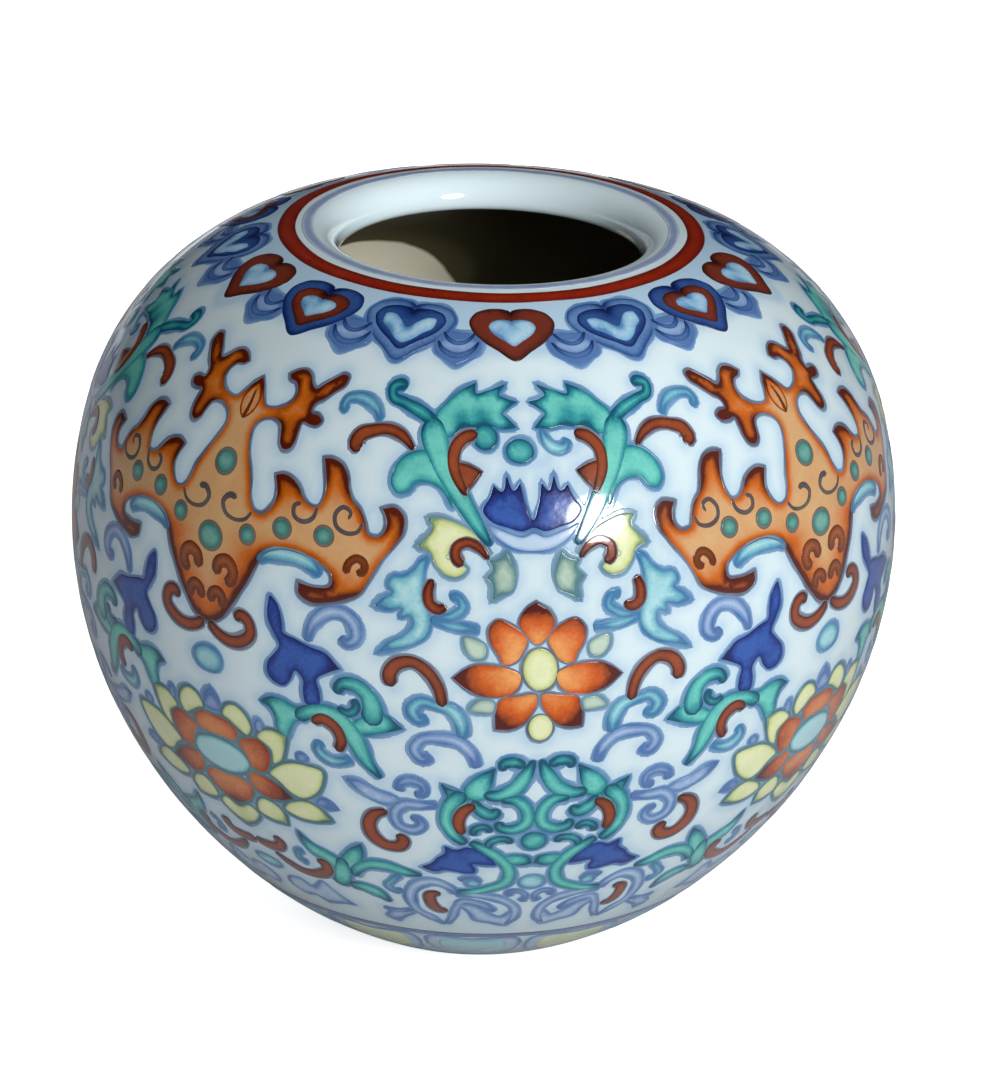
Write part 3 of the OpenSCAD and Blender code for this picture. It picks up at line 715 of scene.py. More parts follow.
# Pale middle of the blue hearts, spread like two wings
CLOUD = blob(*both_sides((0, 42.6), (1.7, 43.6), (4, 44.5), (6, 44.2), (5.8, 42.8), (3.7, 41.7), (1.9, 40.6),
                         (0, 40)), pools=[(0, 42.8), (-3.6, 42)])
# Blue waves that hang between the hearts
SCALLOP = blob((-4.8, 41.5), (-4.4, 39.4), (-2.4, 38.4), [0, 37.6], (2.4, 38.4), (4.4, 39.4), (4.8, 41.5),
               (0, 42.4), pale=-0.4)
SCALLOP_WAVES = [
    line((-4.2, 41, 0.5), (-3, 39.8, 0.9), (0, 38.9, 1), (3, 39.8, 0.9), (4.2, 41, 0.5)),
    line((-3.4, 42.4, 0.5), (-1.8, 41.1, 0.8), (0, 40.7, 0.8), (1.8, 41.1, 0.8), (3.4, 42.4, 0.5)),
]
SCALLOP_AXES = [COLLAR_STEP * (i + 0.5) for i in range(len(HEARTS))]

# Petal panels under the foot line
PANEL = blob((-9.6, -46), (0, -45.9), (9.6, -46), (9.8, -52), (7, -55.6), (0, -56.6), (-7, -55.6),
             (-9.8, -52))
PANEL_INNER = blob((-7, -46.8), (0, -46.6), (7, -46.8), (7, -52), (4, -54.6), (0, -55.4), (-4, -54.6),
                   (-7, -52), pale=0.2)
PANEL_COUNT = 16
PANEL_TURN = 13
PANEL_AXES = [360 / PANEL_COUNT * i + PANEL_TURN for i in range(PANEL_COUNT)]

# Colours of the enamels: dark edge, middle, pale core
RAMPS = {
    "iron": ((46, 12, 4), (98, 36, 14), (150, 70, 32)),
    "orange": ((84, 18, 0), (206, 90, 6), (236, 166, 92)),
    "brick": ((84, 22, 6), (164, 66, 24), (216, 134, 78)),
    "bat": ((84, 24, 4), (198, 98, 18), (208, 168, 118)),
    "spot": ((40, 88, 88), (64, 128, 120), (112, 166, 154)),
    "green": ((6, 82, 106), (44, 148, 152), (110, 202, 188)),
    "turquoise": ((62, 120, 164), (110, 176, 192), (172, 216, 220)),
    "yellow": ((128, 152, 108), (202, 212, 142), (226, 230, 184)),
    "leaf_line": ((66, 104, 118), (84, 122, 130), (104, 138, 140)),
    "sage": ((84, 126, 128), (140, 170, 156), (186, 206, 188)),
    "cobalt": ((2, 18, 78), (12, 46, 128), (44, 86, 166)),
    "periwinkle": ((80, 114, 168), (136, 164, 202), (182, 204, 226)),
    "slate": ((84, 76, 76), (116, 102, 94), (146, 128, 112)),
    "brown": ((104, 48, 16), (136, 68, 26), (166, 96, 46)),
    "collar": ((22, 50, 104), (54, 90, 146), (94, 130, 178)),
    "navy": ((4, 22, 72), (16, 46, 106), (46, 80, 140)),
    "collar_pale": ((82, 134, 180), (136, 182, 212), (178, 210, 226)),
    "red": ((84, 12, 4), (134, 30, 8), (160, 52, 20)),
    "rust": ((38, 10, 6), (80, 27, 16), (116, 46, 28)),
    "line": ((64, 74, 120), (100, 114, 156), (150, 162, 192)),
    "lip": ((200, 214, 225), (138, 156, 188), (118, 138, 178)),
}
PORCELAIN = (212, 229, 233)
PORCELAIN_SPECK = (190, 204, 212)
WASH = (166, 198, 222)
INK = (62, 108, 166)
BAT_INK = (80, 80, 100)
IRON_INK = (84, 58, 72)
TEAL_INK = (54, 114, 162)
LEAF_INK = (84, 124, 146)
# Painted shade over the inside glaze, two tones mottled together, and the cream glaze shown in the painted
# patch of light
INSIDE_PAINTED_SHADE = ((78, 73, 51), (100, 92, 66))
LIT_PATCH_GLAZE = (252, 245, 220)
CLAY = (222, 214, 200)
BARE_CLAY = (206, 190, 166)
# How much paler the grains of the clay are
CLAY_GRAIN = 18
PAPER = ((238, 239, 240), (242, 242, 243))
MIRRORED_PAPER = (158, 160, 164)


def linear(rgb):
    """Scene colour of a display colour."""
    return tuple(c / 255 / 12.92 if c < 11 else ((c / 255 + 0.055) / 1.055)**2.4 for c in rgb) + (1.0,)


# Shader nodes
def add(tree, kind, **values):
    """Node with its properties and the values of its sockets set."""
    node = tree.nodes.new(kind)
    for key, value in values.items():
        if hasattr(node, key):
            setattr(node, key, value)
        else:
            node.inputs[key].default_value = value
    return node


def feed(tree, socket, value):
    """Socket linked to another node's output, or set to a number or colour."""
    if isinstance(value, bpy.types.NodeSocket):
        tree.links.new(value, socket)
    else:
        socket.default_value = value


def calculate(tree, operation, a, b, clamp):
    node = add(tree, "ShaderNodeMath", operation=operation, use_clamp=clamp)
    feed(tree, node.inputs[0], a)
    feed(tree, node.inputs[1], b)
    return node.outputs[0]


def plus(tree, a, b, clamp=False):
    return calculate(tree, "ADD", a, b, clamp)


def minus(tree, a, b, clamp=False):
    return calculate(tree, "SUBTRACT", a, b, clamp)


def times(tree, a, b, clamp=False):
    return calculate(tree, "MULTIPLY", a, b, clamp)


def mix(tree, factor, a, b):
    """Colour between two colours."""
    node = add(tree, "ShaderNodeMix", data_type="RGBA")
    for index, value in ((0, factor), (6, a), (7, b)):
        feed(tree, node.inputs[index], value)
    return node.outputs[2]


def noise(tree, scale, detail=3):
    """Noise fixed to the object, as a value round zero."""
    coords = tree.nodes.new("ShaderNodeTexCoord")
    texture = add(tree, "ShaderNodeTexNoise", Scale=scale, Detail=detail)
    tree.links.new(coords.outputs["Object"], texture.inputs["Vector"])
    return minus(tree, texture.outputs["Fac"], 0.5)


def mottle(tree, scale):
    """Noise from 0 to 1, to mix two colours by."""
    return plus(tree, noise(tree, scale), 0.5, clamp=True)


def attribute(tree, name):
    return add(tree, "ShaderNodeAttribute", attribute_name=name).outputs["Fac"]


# Shader groups
def new_group(name, inputs, outputs):
    group = bpy.data.node_groups.new(name, "ShaderNodeTree")
    for socket, kind in inputs.items():
        group.interface.new_socket(socket, in_out="INPUT", socket_type=kind)
    for socket, kind in outputs.items():
        group.interface.new_socket(socket, in_out="OUTPUT", socket_type=kind)
    return group, group.nodes.new("NodeGroupInput"), group.nodes.new("NodeGroupOutput")


def brushed_group():
    """Enamel from dark at tone 0 over its middle colour to pale at tone 1, uneven as a wash."""
    colour = "NodeSocketColor"
    inputs = {"Dark": colour, "Middle": colour, "Pale": colour, "Grain": "NodeSocketFloat"}
    tree, inp, out = new_group("brushed_enamel", inputs, {"Color": colour})
    grain = inp.outputs["Grain"]
    wash = times(tree, noise(tree, scale=420), grain)
    fine = times(tree, noise(tree, scale=2600, detail=2), times(tree, grain, 0.6))
    tone = plus(tree, plus(tree, attribute(tree, "tone"), wash), fine)
    low = times(tree, tone, 2, clamp=True)
    high = minus(tree, times(tree, tone, 2), 1, clamp=True)
    body = mix(tree, low, inp.outputs["Dark"], inp.outputs["Middle"])
    tree.links.new(mix(tree, high, body, inp.outputs["Pale"]), out.inputs["Color"])
    return tree


def porcelain_group():
    """White glaze with a faint blue wash where cobalt bled into it."""
    tree, inp, out = new_group("porcelain", {"Bleed": "NodeSocketFloat"}, {"Color": "NodeSocketColor"})
    cloud = plus(tree, times(tree, noise(tree, scale=60), 0.25), 1.0)
    bleed = times(tree, inp.outputs["Bleed"], cloud, clamp=True)
    speck = times(tree, minus(tree, noise(tree, scale=900, detail=1), 0.24), 2.0, clamp=True)
    white = mix(tree, speck, linear(PORCELAIN), linear(PORCELAIN_SPECK))
    tree.links.new(mix(tree, bleed, white, linear(WASH)), out.inputs["Color"])
    return tree


def ripple_group():
    """Slight waves of a thick glaze, as a normal."""
    inputs = {"Strength": "NodeSocketFloat"}
    tree, inp, out = new_group("glaze_ripple", inputs, {"Normal": "NodeSocketVector"})
    height = plus(tree, noise(tree, scale=90, detail=2), times(tree, noise(tree, scale=600, detail=2), 0.25))
    bump = add(tree, "ShaderNodeBump", Distance=0.0006)
    tree.links.new(height, bump.inputs["Height"])
    tree.links.new(inp.outputs["Strength"], bump.inputs["Strength"])
    tree.links.new(bump.outputs["Normal"], out.inputs["Normal"])
    return tree


BRUSHED, PORCELAIN_GLAZE, RIPPLE = brushed_group(), porcelain_group(), ripple_group()


# Materials
def use_group(tree, group, **values):
    node = tree.nodes.new("ShaderNodeGroup")
    node.node_tree = group
    for key, value in values.items():
        node.inputs[key].default_value = value
    return node


def glossy_material(name, roughness, coat, ripple=0.12):
    """Glazed material; returns it with its tree and its shader, for the colour to be linked."""
    material = bpy.data.materials.new(name)
    material.use_nodes = True
    tree = material.node_tree
    shader = tree.nodes["Principled BSDF"]
    shader.inputs["Roughness"].default_value = roughness
    shader.inputs["Coat Weight"].default_value = coat
    shader.inputs["Coat Roughness"].default_value = 0.04
    tree.links.new(use_group(tree, RIPPLE, Strength=ripple).outputs["Normal"], shader.inputs["Normal"])
    return material, tree, shader


def enamel_material(name, ramp, grain=0.5):
    material, tree, shader = glossy_material(name, roughness=0.2, coat=0.8, ripple=0.3)
    dark, middle, pale = (linear(c) for c in RAMPS[ramp])
    node = use_group(tree, BRUSHED, Dark=dark, Middle=middle, Pale=pale, Grain=grain)
    tree.links.new(node.outputs["Color"], shader.inputs["Base Color"])
    return material


def ink_material(name, ink):
    """Underglaze line that fades into the glaze at its edge."""
    material, tree, shader = glossy_material(name, roughness=0.2, coat=0.8)
    uneven = plus(tree, times(tree, noise(tree, scale=300), 0.8), 0.86)
    strength = times(tree, attribute(tree, "tone"), uneven, clamp=True)
    glaze = use_group(tree, PORCELAIN_GLAZE, Bleed=1.0)
    tree.links.new(mix(tree, strength, glaze.outputs["Color"], linear(ink)), shader.inputs["Base Color"])
    return material


def porcelain_material(name, bleeds):
    material, tree, shader = glossy_material(name, roughness=0.08, coat=1.0)
    glaze = use_group(tree, PORCELAIN_GLAZE, Bleed=0.0)
    if bleeds:
        tree.links.new(attribute(tree, "halo"), glaze.inputs["Bleed"])
    tree.links.new(glaze.outputs["Color"], shader.inputs["Base Color"])
    return material


def clay_material(name, rgb):
    material, tree, shader = glossy_material(name, roughness=0.75, coat=0.0, ripple=0.5)
    grains = linear([c + CLAY_GRAIN for c in rgb])
    tree.links.new(mix(tree, mottle(tree, scale=1500), linear(rgb), grains), shader.inputs["Base Color"])
    return material


# Painted patch of light inside the pot, in metres: its middle, its radius, how uneven its edge is and how
# fast it fades
LIT_PATCH_AT = (-0.0127, 0.0411, 0.059)
LIT_PATCH_RADIUS = 0.016
LIT_PATCH_UNEVEN = 0.001
LIT_PATCH_FADE = 0.0005


def inside_material(name):
    """Cream glaze with painted shade: dark all over, but for one painted patch of light on the far wall."""
    material, tree, shader = glossy_material(name, roughness=0.3, coat=0.2)
    coords = tree.nodes.new("ShaderNodeTexCoord")
    away = add(tree, "ShaderNodeVectorMath", operation="DISTANCE")
    away.inputs[1].default_value = LIT_PATCH_AT
    tree.links.new(coords.outputs["Object"], away.inputs[0])
    # Mask of the painted patch of light: 1 inside the patch, fading to 0 at its uneven edge
    edge = minus(tree, LIT_PATCH_RADIUS, away.outputs["Value"])
    edge = plus(tree, edge, times(tree, noise(tree, scale=200), LIT_PATCH_UNEVEN))
    clear = times(tree, edge, 1 / LIT_PATCH_FADE, clamp=True)
    # Painted shade all over the inside, mottled, and cleared to cream glaze in the painted patch of light
    painted_shade = mix(tree, mottle(tree, scale=50), linear(INSIDE_PAINTED_SHADE[0]), linear(INSIDE_PAINTED_SHADE[1]))
    tree.links.new(mix(tree, clear, painted_shade, linear(LIT_PATCH_GLAZE)), shader.inputs["Base Color"])
    return material


# Laying the drawing on the pot: tone of the core of a fill, and the share of it that a flower's petals keep
CORE_TONE = 0.95
PETAL_SHARE = 0.35
# How much more colour pools at the edge of a tip than in its core
EDGE_POOL = 0.45


def tips_of(mark):
    """Flat points where colour pools: the sharp tips of a blob and its own pools, or the ends of a stroke."""
    if "stroke" in mark:
        ends = [mark["stroke"][0], mark["stroke"][-1]]
    else:
        ends = [q for q in mark["outline"] if isinstance(q, list)] + list(mark["pools"])
    return np.array([(q[0] * FLAT, q[1]) for q in ends]).reshape(-1, 2)


def tone_of(mark, rim, depth, pool, gather):
    """Tone by distance from the edge and from the middle of a flower, darker where colour pools."""
    tips = tips_of(mark)

    def tone(flat, edge):
        core = smoothstep(edge / depth)
        t = rim + (CORE_TONE - rim) * core + mark["pale"]
        if mark["focus"]:
            x, v, reach = mark["focus"]
            out = np.linalg.norm((flat - [x * FLAT, v]) / reach, axis=1)
            t = PETAL_SHARE * t + CORE_TONE * (1 - smoothstep(1.15 * out))
        if len(tips):
            near = np.linalg.norm(flat[:, None] - tips[None], axis=2).min(1)
            t = t - gather * (1 + EDGE_POOL * (1 - core)) * np.exp(-(near / pool)**2)
        return t
    return tone


def lay(name, patches):
    """One object from patches, each with the axes that it is drawn on and whether it is mirrored."""
    points, tones, tris, quads = [], [], [], []
    start = 0
    for patch, axes, mirrored in patches:
        for axis in axes:
            for side in ((1, -1) if mirrored else (1,)):
                points.append(place(axis + side * patch.flat[:, 0] / FLAT, patch.flat[:, 1], patch.lift))
                tones.append(patch.tone)
                tris.append(start + patch.tris[:, ::side])
                quads.append(start + patch.quads[:, ::side])
                start += len(patch.flat)
    faces = np.concatenate(tris).tolist() + np.concatenate(quads).tolist()
    return new_object(name, np.concatenate(points), faces, tone=np.concatenate(tones))


# Painted lines, each with its first axis, from which the cobalt bleeds into the glaze
blue_lines = []


def paint(name, ramp, slot, groups, nodes=(), ink=INK, outline=0.3, over=0.0, grow=0.0,
          lift=FILL_LIFT, rim_tone=0.2, depth=0.9, pool=1.6, gather=0.6, grain=0.5):
    """Fills of one colour and the ink line round each; groups are (marks, axes, mirrored).

    A fill grows past its drawn edge, and its line can show over it. Its tone goes from rim_tone at the edge
    to the core within a depth, and falls by what gathers within the reach of a pool.
    """
    fills, lines = [], []
    under = lift - LINE_LIFT
    for marks, axes, mirrored in groups:
        for mark in marks:
            tone = tone_of(mark, rim_tone, depth, pool, gather)
            if "outline" in mark:
                rim = close_rim(mark["outline"])
                rim = rim - grow * left_of(rim, True)
                fills.append((fill_patch(rim, lift, tone), axes, mirrored))
                if outline:
                    lines.append((rim_outline(rim, outline, under, over), axes, mirrored))
                    blue_lines.append((axes[0], rim))
            else:
                stroke = [(x, v, w + 2 * grow) for x, v, w in mark["stroke"]]
                fills.append((stroke_patch(stroke, lift + STROKE_OVER, tone), axes, mirrored))
                if outline:
                    lines.append((stroke_outline(stroke, outline, under), axes, mirrored))
                    blue_lines.append((axes[0], brush_line(stroke)[0]))
    finish_piece(lay(name, fills), enamel_material(name, ramp, grain), slot, *nodes)
    if lines:
        finish_piece(lay(name + "_outline", lines), ink_material(name + "_outline", ink), "cobalt_blue")


def at_lotus(sides, middle=()):
    """Marks on both sides of the orange lotus, and on its axis."""
    return [(sides, A_AXES, True), (middle, A_AXES, False)]


def at_bat(sides, middle=()):
    """Marks on both sides of the bat and the yellow lotus, and on their axis."""
    return [(sides, B_AXES, True), (middle, B_AXES, False)]


def spots(sizes, wider=0.0):
    return [dot(x, v, rx + wider, ry + wider) for x, v, rx, ry in sizes]


# Leaves, scrolls and hooks
paint("green_leaves", "green", "green_enamel", at_lotus(GREEN_A, GREEN_A_MIDDLE) + at_bat(GREEN_B),
      ink=TEAL_INK, grow=0.13)
paint("turquoise_scrolls", "turquoise", "turquoise_enamel",
      at_lotus(TURQUOISE_A, TURQUOISE_A_MIDDLE) + at_bat(TURQUOISE_B, TURQUOISE_B_MIDDLE), ink=TEAL_INK)
paint("yellow_leaves", "yellow", "yellow_enamel", at_lotus(YELLOW_A), ink=LEAF_INK)
paint("sage_leaves", "sage", "green_enamel", at_lotus(SAGE_A), ink=LEAF_INK)
paint("cobalt_blossoms", "cobalt", "cobalt_blue", at_lotus(COBALT_A, COBALT_A_MIDDLE) + at_bat(COBALT_B),
      outline=0.25, grain=0.9)
paint("periwinkle_scrolls", "periwinkle", "cobalt_blue",
      at_lotus(PERIWINKLE_A, PERIWINKLE_A_MIDDLE) + at_bat(PERIWINKLE_B, PERIWINKLE_B_MIDDLE))
paint("iron_hooks", "iron", "iron_red_enamel", at_lotus(IRON_A) + at_bat(IRON_B), ink=IRON_INK,
      outline=0.16, grow=0.17, lift=OVER_LIFT, depth=0.6, pool=1.0, gather=0.3)

# Lotus flowers
paint("lotus_flower_petals", "orange", "orange_enamel", at_lotus(LOTUS_PETALS, LOTUS_TOP), ["lotus_petals"],
      ink=BAT_INK, outline=0.2)
paint("lotus_flower_hearts", "yellow", "yellow_enamel", at_lotus([], LOTUS_HEART), ["lotus_hearts"],
      ink=BAT_INK, outline=0.2)
paint("yellow_lotus_lines", "leaf_line", "green_enamel",
      at_bat(YELLOW_PETALS + YELLOW_INNER, YELLOW_PETALS_MIDDLE + YELLOW_INNER_MIDDLE + YELLOW_HEART),
      ink=LEAF_INK, outline=0.2, grow=0.34)
paint("yellow_lotus_outer", "yellow", "yellow_enamel", at_bat(YELLOW_PETALS, YELLOW_PETALS_MIDDLE),
      ["yellow_petals"], outline=0, lift=OVER_LIFT, depth=0.7)
paint("yellow_lotus_inner", "brick", "orange_enamel", at_bat(YELLOW_INNER, YELLOW_INNER_MIDDLE),
      ["yellow_lotus_petals"], outline=0, lift=OVER_LIFT)
paint("yellow_lotus_middle", "turquoise", "turquoise_enamel", at_bat([], YELLOW_HEART),
      ["yellow_lotus_hearts"], outline=0, lift=OVER_LIFT)

# Bats with what is drawn on them
paint("bat_bodies", "bat", "orange_enamel", at_bat([], BAT), ["bats"], ink=BAT_INK, outline=0.2,
      over=0.08, rim_tone=0.42, depth=1.3, pool=2.9, grain=0.25)
paint("bat_buds", "bat", "orange_enamel", at_bat([], BAT_BUD), outline=0, lift=DETAIL_LIFT,
      rim_tone=-0.2, depth=0.6)
paint("bat_spot_rims", "slate", "cobalt_blue",
      at_bat(spots(BAT_SPOTS, SPOT_RIM), spots(BAT_SPOTS_MIDDLE, SPOT_RIM)), outline=0, lift=DETAIL_LIFT)
paint("bat_spots", "spot", "green_enamel", at_bat(spots(BAT_SPOTS), spots(BAT_SPOTS_MIDDLE)),
      outline=0, lift=BAT_SPOT_LIFT)
paint("bat_curls", "slate", "cobalt_blue", at_bat(BAT_CURLS), outline=0, lift=DETAIL_LIFT)
paint("bat_marks", "brown", "iron_red_enamel", at_bat(BAT_BROWN, BAT_BUD_VEIN),
      outline=0, lift=BAT_MARK_LIFT)

# Collar, from its waves to the pale middles of the hearts
paint("collar_scallops", "periwinkle", "cobalt_blue", [([SCALLOP], SCALLOP_AXES, False)],
      outline=0.4, rim_tone=-0.3, depth=2)
paint("collar_waves", "collar", "cobalt_blue", [(SCALLOP_WAVES, SCALLOP_AXES, False)],
      outline=0, rim_tone=0.5)
paint("collar_hearts", "collar", "cobalt_blue", hearts("B", heart(10.3, 37.6, 47)), ["ruyi_lappets"])
paint("collar_dark_hearts", "navy", "cobalt_blue",
      hearts("C", heart(10.3, 37.8, 47)) + hearts("B", heart(8.2, 39.1, 46)),
      outline=0, lift=DARK_HEART_LIFT)
paint("collar_red_hearts", "rust", "iron_red_enamel",
      hearts("R", heart(9.4, 38.2, 46.8)) + hearts("C", heart(7.6, 39.2, 45.7)),
      outline=0, lift=RED_HEART_LIFT)
paint("collar_pale_hearts", "collar_pale", "cobalt_blue",
      hearts("R", pale_heart(5.2, 40.2, 44.8)) + hearts("C", pale_heart(4.8, 40.8, 44.4))
      + hearts("B", CLOUD), outline=0, lift=PALE_HEART_LIFT, grain=0.8)

# Panels at the foot, yellow and turquoise in turn
paint("foot_panel_borders", "periwinkle", "cobalt_blue", [([PANEL], PANEL_AXES, False)], ["foot_panels"],
      outline=0.4)
paint("foot_panel_yellow", "yellow", "yellow_enamel", [([PANEL_INNER], PANEL_AXES[::2], False)],
      outline=0, lift=PANEL_INNER_LIFT)
paint("foot_panel_turquoise", "turquoise", "turquoise_enamel", [([PANEL_INNER], PANEL_AXES[1::2], False)],
      outline=0, lift=PANEL_INNER_LIFT)

# Rings round the pot: shares of their width, with the lift and the tone at each
BAND_ACROSS = np.array([0, 0.08, 0.3, 0.5, 0.7, 0.92, 1])
BAND_LIFTS = np.array([-BURY, 0.02, 0.03, 0.034, 0.03, 0.02, -BURY])
BAND_TONES = [0.05, 0.15, 0.5, 0.62, 0.5, 0.15, 0.05]
ROUND_STEPS = 360


def band(name, low, high, ramp, slot, node, uneven):
    """Painted ring from one length up the wall to another, with slightly uneven edges."""
    theta = turns_round(ROUND_STEPS)
    waves = uneven * np.sin(5 * theta + low) + 0.6 * uneven * np.sin(13 * theta + 2 * high)
    v = low + (high - low) * BAND_ACROSS + waves * np.abs(np.linspace(-1, 1, len(BAND_ACROSS)))
    points = round_pot(theta, *wall(v, np.broadcast_to(BAND_LIFTS, v.shape)))
    ring = new_object(name, points, ring_faces(*v.shape), tone=np.tile(BAND_TONES, ROUND_STEPS))
    finish_piece(ring, enamel_material(name, ramp), slot, node)


band("red_ring", 48.0, 50.2, "red", "iron_red_enamel", "iron_red_band", 0.06)
band("lip_ring", CREST_V - 1.1, CREST_V + 0.3, "lip", "cobalt_blue", "cobalt_lip_line", 0.06)
band("foot_ring_line", -45.0, -43.3, "line", "cobalt_blue", "cobalt_foot_line", 0.05)

# Glaze over the pot: how much cobalt bled from the painted lines, how far, and the blue wash of the collar
BLEED = 0.75
BLEED_REACH = 1.1
COLLAR_WASH = 0.8
COLLAR_LOW, COLLAR_HIGH = 38, 50
# Rows of the glaze's mesh up the wall and over the lip; its underside has one row for each few
WALL_ROWS = 200
LIP_ROWS = 24
UNDER_ROWS = 6
INSIDE_ROWS = 90
# How far the inner glaze starts over the floor, so that its corner stays clean
CORNER = 0.05
# The floor's glaze is closed to this radius
AXIS_R = 0.01


def fold(degrees):
    """Degrees from the nearest front axis of the pattern."""
    turned = np.mod(degrees, REPEAT)
    return np.minimum(turned, REPEAT - turned)


def halo_of(x, v):
    """How much blue bled into the glaze at points of the drawing."""
    near = np.concatenate([np.stack([fold(axis + p[:, 0] / FLAT) * FLAT, p[:, 1]], axis=1)
                           for axis, p in blue_lines])
    tree = KDTree(len(near))
    for i, (a, b) in enumerate(near):
        tree.insert((a, b, 0), i)
    tree.balance()
    away = np.array([tree.find((a, b, 0))[2] for a, b in zip(fold(x) * FLAT, v)])
    collar = smoothstep((v - COLLAR_LOW) / 2) * smoothstep((COLLAR_HIGH - v) / 1.5)
    return np.maximum(BLEED * np.exp(-(away / BLEED_REACH)**2), COLLAR_WASH * collar)


def glaze_outside():
    """Glaze from the foot over the wall and the lip, with the bled cobalt as its halo."""
    v = np.concatenate([np.linspace(FOOT_V, CREST_V, WALL_ROWS),
                        np.linspace(CREST_V, LIP_END, LIP_ROWS)[1:]])
    outer = np.stack(wall(v), axis=1)
    inner = np.stack(wall(v[::UNDER_ROWS], -GLAZE), axis=1)[::-1]
    foot = [(FOOT_R - GLAZE, CLAY_Z), (FOOT_R - GLAZE, BARE_H), (FOOT_R, BARE_H), (FOOT_R, FOOT_H)]
    section = np.concatenate([outer, inner, foot])
    x = np.arange(REPEAT)[:, None] - LEAN * (v - LEAN_FROM)
    repeat = halo_of(x.reshape(-1), np.tile(v, REPEAT)).reshape(x.shape)
    halo = np.zeros((ROUND_STEPS, len(section)))
    halo[:, :len(v)] = np.tile(repeat, (ROUND_STEPS // REPEAT, 1))
    return revolve("glaze_outside", section, ROUND_STEPS, halo=halo.reshape(-1))


def glaze_inside():
    """Skin of glaze over the inner wall and the floor."""
    v = np.linspace(FOOT_V, CREST_V, INSIDE_ROWS)

    def inner_wall(depth, floor):
        """Points of the wall at a depth in it, from just over the floor up."""
        points = np.stack(wall(v, -depth), axis=1)
        return points[points[:, 1] > floor + CORNER]

    under = inner_wall(WALL - GLAZE, FLOOR_Z)
    over = inner_wall(WALL, FLOOR_Z + GLAZE)
    lip_z = over[-1][1]
    lip = [(THROAT_R, lip_z + GLAZE), (THROAT_R, lip_z)]
    section = [[(AXIS_R, FLOOR_Z)], under, lip, over[::-1], [(AXIS_R, FLOOR_Z + GLAZE)]]
    return revolve("glaze_inside", np.concatenate(section), ROUND_STEPS // 2)


finish_piece(glaze_outside(), porcelain_material("glaze_outside", True), "clear_glaze", "outer_glaze")
finish_piece(glaze_inside(), inside_material("glaze_inside"), "inner_glaze", "inner_glaze")

# Materials of the CAD nodes that are kept
clay = clay_material("porcelain_clay", CLAY)
bare = clay_material("bare_foot", BARE_CLAY)
base = porcelain_material("base_glaze", False)
for node, material in (("lower_body", clay), ("upper_body", clay), ("luting_seam", clay), ("mouth_lip", clay),
                       ("foot_ring", bare), ("base_glaze", base)):
    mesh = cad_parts[node].data
    mesh.materials.clear()
    mesh.materials.append(material)

# Studio: pale floor, soft lights, camera at the photograph's angle
CAMERA_TURN = math.radians(-7.3)
CAMERA_RISE = math.radians(23.65)
CAMERA_FAR = 0.4
PHOTO_W, PHOTO_H = 1000, 1067
FOCAL_PX = 3268
AIM_PX = (483.5, 512.9)
ROLL = math.radians(1.49)
FLOOR_HALF = 3
# How much the floor is lifted towards white, for the camera alone
WHITE_FLOOR = 0.76
# The room is brightest to the right of the camera: dim and bright, as light and as seen in the glaze
BRIGHT_TURN = CAMERA_TURN + math.radians(54)
BRIGHT_RISE = math.radians(30)
BRIGHT_GAIN = 0.96
BRIGHT_BASE = 0.03
ROOM = ((0.015, 0.016, 0.018, 1), (0.7, 0.71, 0.73, 1))
MIRRORED_ROOM = ((0.008, 0.008, 0.009, 1), (0.16, 0.165, 0.17, 1))
WHITE = (1, 1, 1, 1)


def heading(turn, rise):
    """Unit vector from the pot towards a turn to the right of the front and a rise."""
    return Vector((math.sin(turn) * math.cos(rise), -math.cos(turn) * math.cos(rise), math.sin(rise)))


def add_camera():
    data = bpy.data.cameras.new("camera")
    data.sensor_fit = "VERTICAL"
    data.sensor_height = 36
    data.lens = FOCAL_PX / PHOTO_H * data.sensor_height
    data.shift_x = (PHOTO_W / 2 - AIM_PX[0]) / PHOTO_H
    data.shift_y = (AIM_PX[1] - PHOTO_H / 2) / PHOTO_H
    camera = bpy.data.objects.new("camera", data)
    back = heading(CAMERA_TURN, CAMERA_RISE)
    move = Matrix.Translation(Vector((0, 0, BELLY_Z * MM)) + back * CAMERA_FAR)
    turn = back.to_track_quat("Z", "Y").to_matrix().to_4x4()
    camera.matrix_world = move @ turn @ Matrix.Rotation(ROLL, 4, "Z")
    bpy.context.scene.collection.objects.link(camera)
    bpy.context.scene.camera = camera


def add_light(name, kind, turn, rise, far, height, power, mirrored, **values):
    """Light aimed at the pot's axis at a height; mirrored says whether it is seen in the glaze.

    Its turn and rise are degrees, its turn is to the right of the camera, and it is far metres away.
    """
    data = bpy.data.lights.new(name, kind)
    data.energy = power
    for key, value in values.items():
        setattr(data, key, value)
    light = bpy.data.objects.new(name, data)
    direction = heading(CAMERA_TURN + math.radians(turn), math.radians(rise))
    light.location = Vector((0, 0, height * MM)) + direction * far
    light.rotation_euler = direction.to_track_quat("Z", "Y").to_euler()
    light.visible_glossy = mirrored
    bpy.context.scene.collection.objects.link(light)


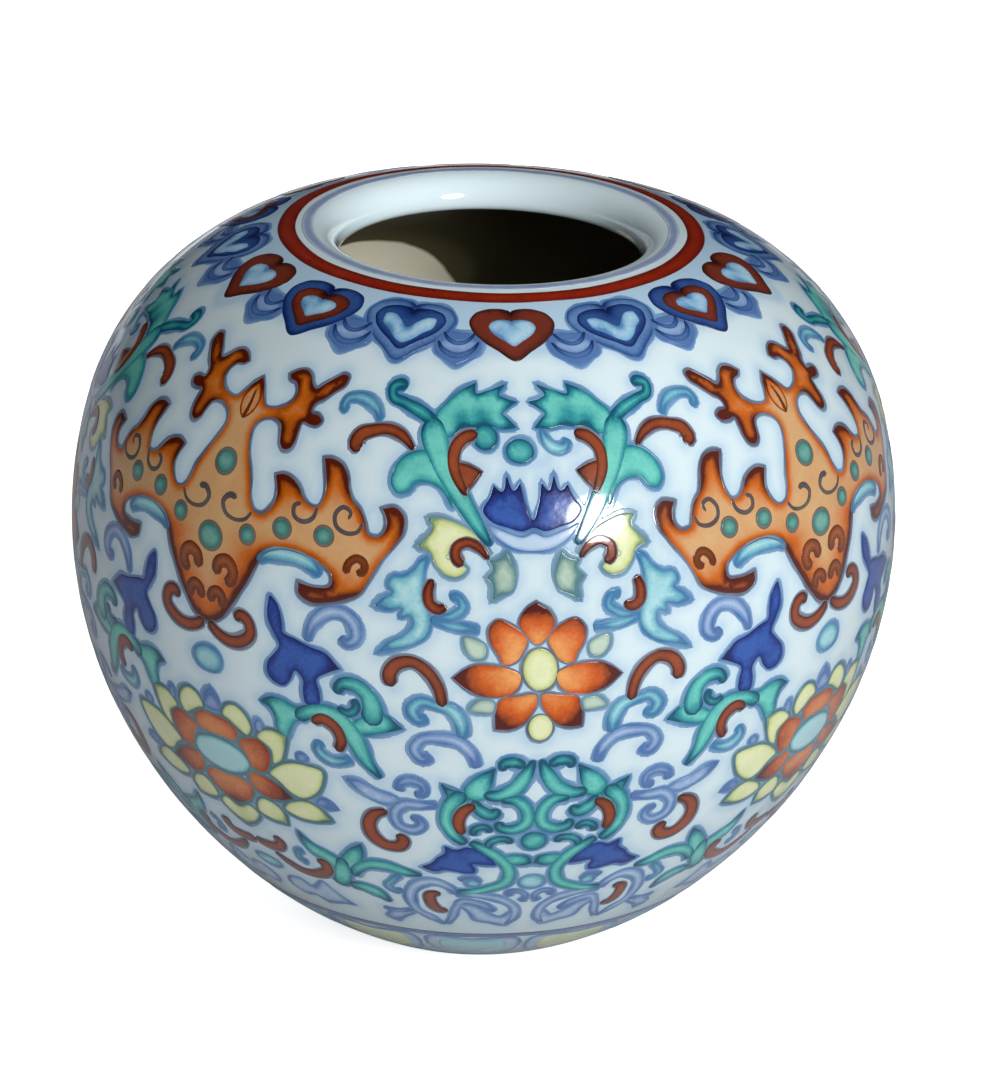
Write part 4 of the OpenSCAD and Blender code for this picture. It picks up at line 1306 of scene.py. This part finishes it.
def add_floor():
    """Pale paper; white for the camera and darker as the glaze mirrors it."""
    corners = [(-FLOOR_HALF, -FLOOR_HALF, 0), (FLOOR_HALF, -FLOOR_HALF, 0), (FLOOR_HALF, FLOOR_HALF, 0),
               (-FLOOR_HALF, FLOOR_HALF, 0)]
    mesh = bpy.data.meshes.new("floor")
    mesh.from_pydata(corners, [], [(0, 1, 2, 3)])
    floor = bpy.data.objects.new("floor", mesh)
    bpy.context.scene.collection.objects.link(floor)
    material = bpy.data.materials.new("floor")
    material.use_nodes = True
    tree = material.node_tree
    shader = tree.nodes["Principled BSDF"]
    shader.inputs["Roughness"].default_value = 0.9
    paper = mix(tree, mottle(tree, scale=40), linear(PAPER[0]), linear(PAPER[1]))
    path = tree.nodes.new("ShaderNodeLightPath")
    seen = mix(tree, path.outputs["Is Glossy Ray"], paper, linear(MIRRORED_PAPER))
    tree.links.new(seen, shader.inputs["Base Color"])
    shader.inputs["Emission Strength"].default_value = WHITE_FLOOR
    tree.links.new(path.outputs["Is Camera Ray"], shader.inputs["Emission Color"])
    mesh.materials.append(material)


def set_world():
    """White backdrop for the camera; for light and reflections a room, bright on the right."""
    world = bpy.data.worlds.new("studio")
    world.use_nodes = True
    tree = world.node_tree
    path = tree.nodes.new("ShaderNodeLightPath")
    coords = tree.nodes.new("ShaderNodeTexCoord")
    facing = add(tree, "ShaderNodeVectorMath", operation="DOT_PRODUCT")
    facing.inputs[1].default_value = heading(BRIGHT_TURN, BRIGHT_RISE)
    tree.links.new(coords.outputs["Generated"], facing.inputs[0])
    bright = plus(tree, times(tree, facing.outputs["Value"], BRIGHT_GAIN), BRIGHT_BASE, clamp=True)
    room = mix(tree, bright, *ROOM)
    mirrored = mix(tree, bright, *MIRRORED_ROOM)
    lit = mix(tree, path.outputs["Is Glossy Ray"], room, mirrored)
    seen = mix(tree, path.outputs["Is Camera Ray"], lit, WHITE)
    tree.links.new(seen, tree.nodes["Background"].inputs["Color"])
    bpy.context.scene.world = world


add_camera()
add_floor()
set_world()
add_light("key", "AREA", turn=31, rise=23, far=0.6, height=BELLY_Z, power=1.5, mirrored=True,
          shape="ELLIPSE", size=0.16, size_y=0.2)
add_light("fill", "AREA", turn=17, rise=38, far=0.8, height=BELLY_Z, power=1.3, mirrored=False,
          shape="DISK", size=0.6)
add_light("mouth", "SPOT", turn=28, rise=25, far=0.6, height=MOUTH_Z + 2, power=6.8, mirrored=False,
          spot_size=math.radians(4.2), spot_blend=0.6, shadow_soft_size=0.02)
add_light("back", "AREA", turn=190, rise=18, far=0.8, height=BELLY_Z, power=3.8, mirrored=False,
          shape="DISK", size=0.5)
bpy.context.scene.view_settings.view_transform = "Standard"
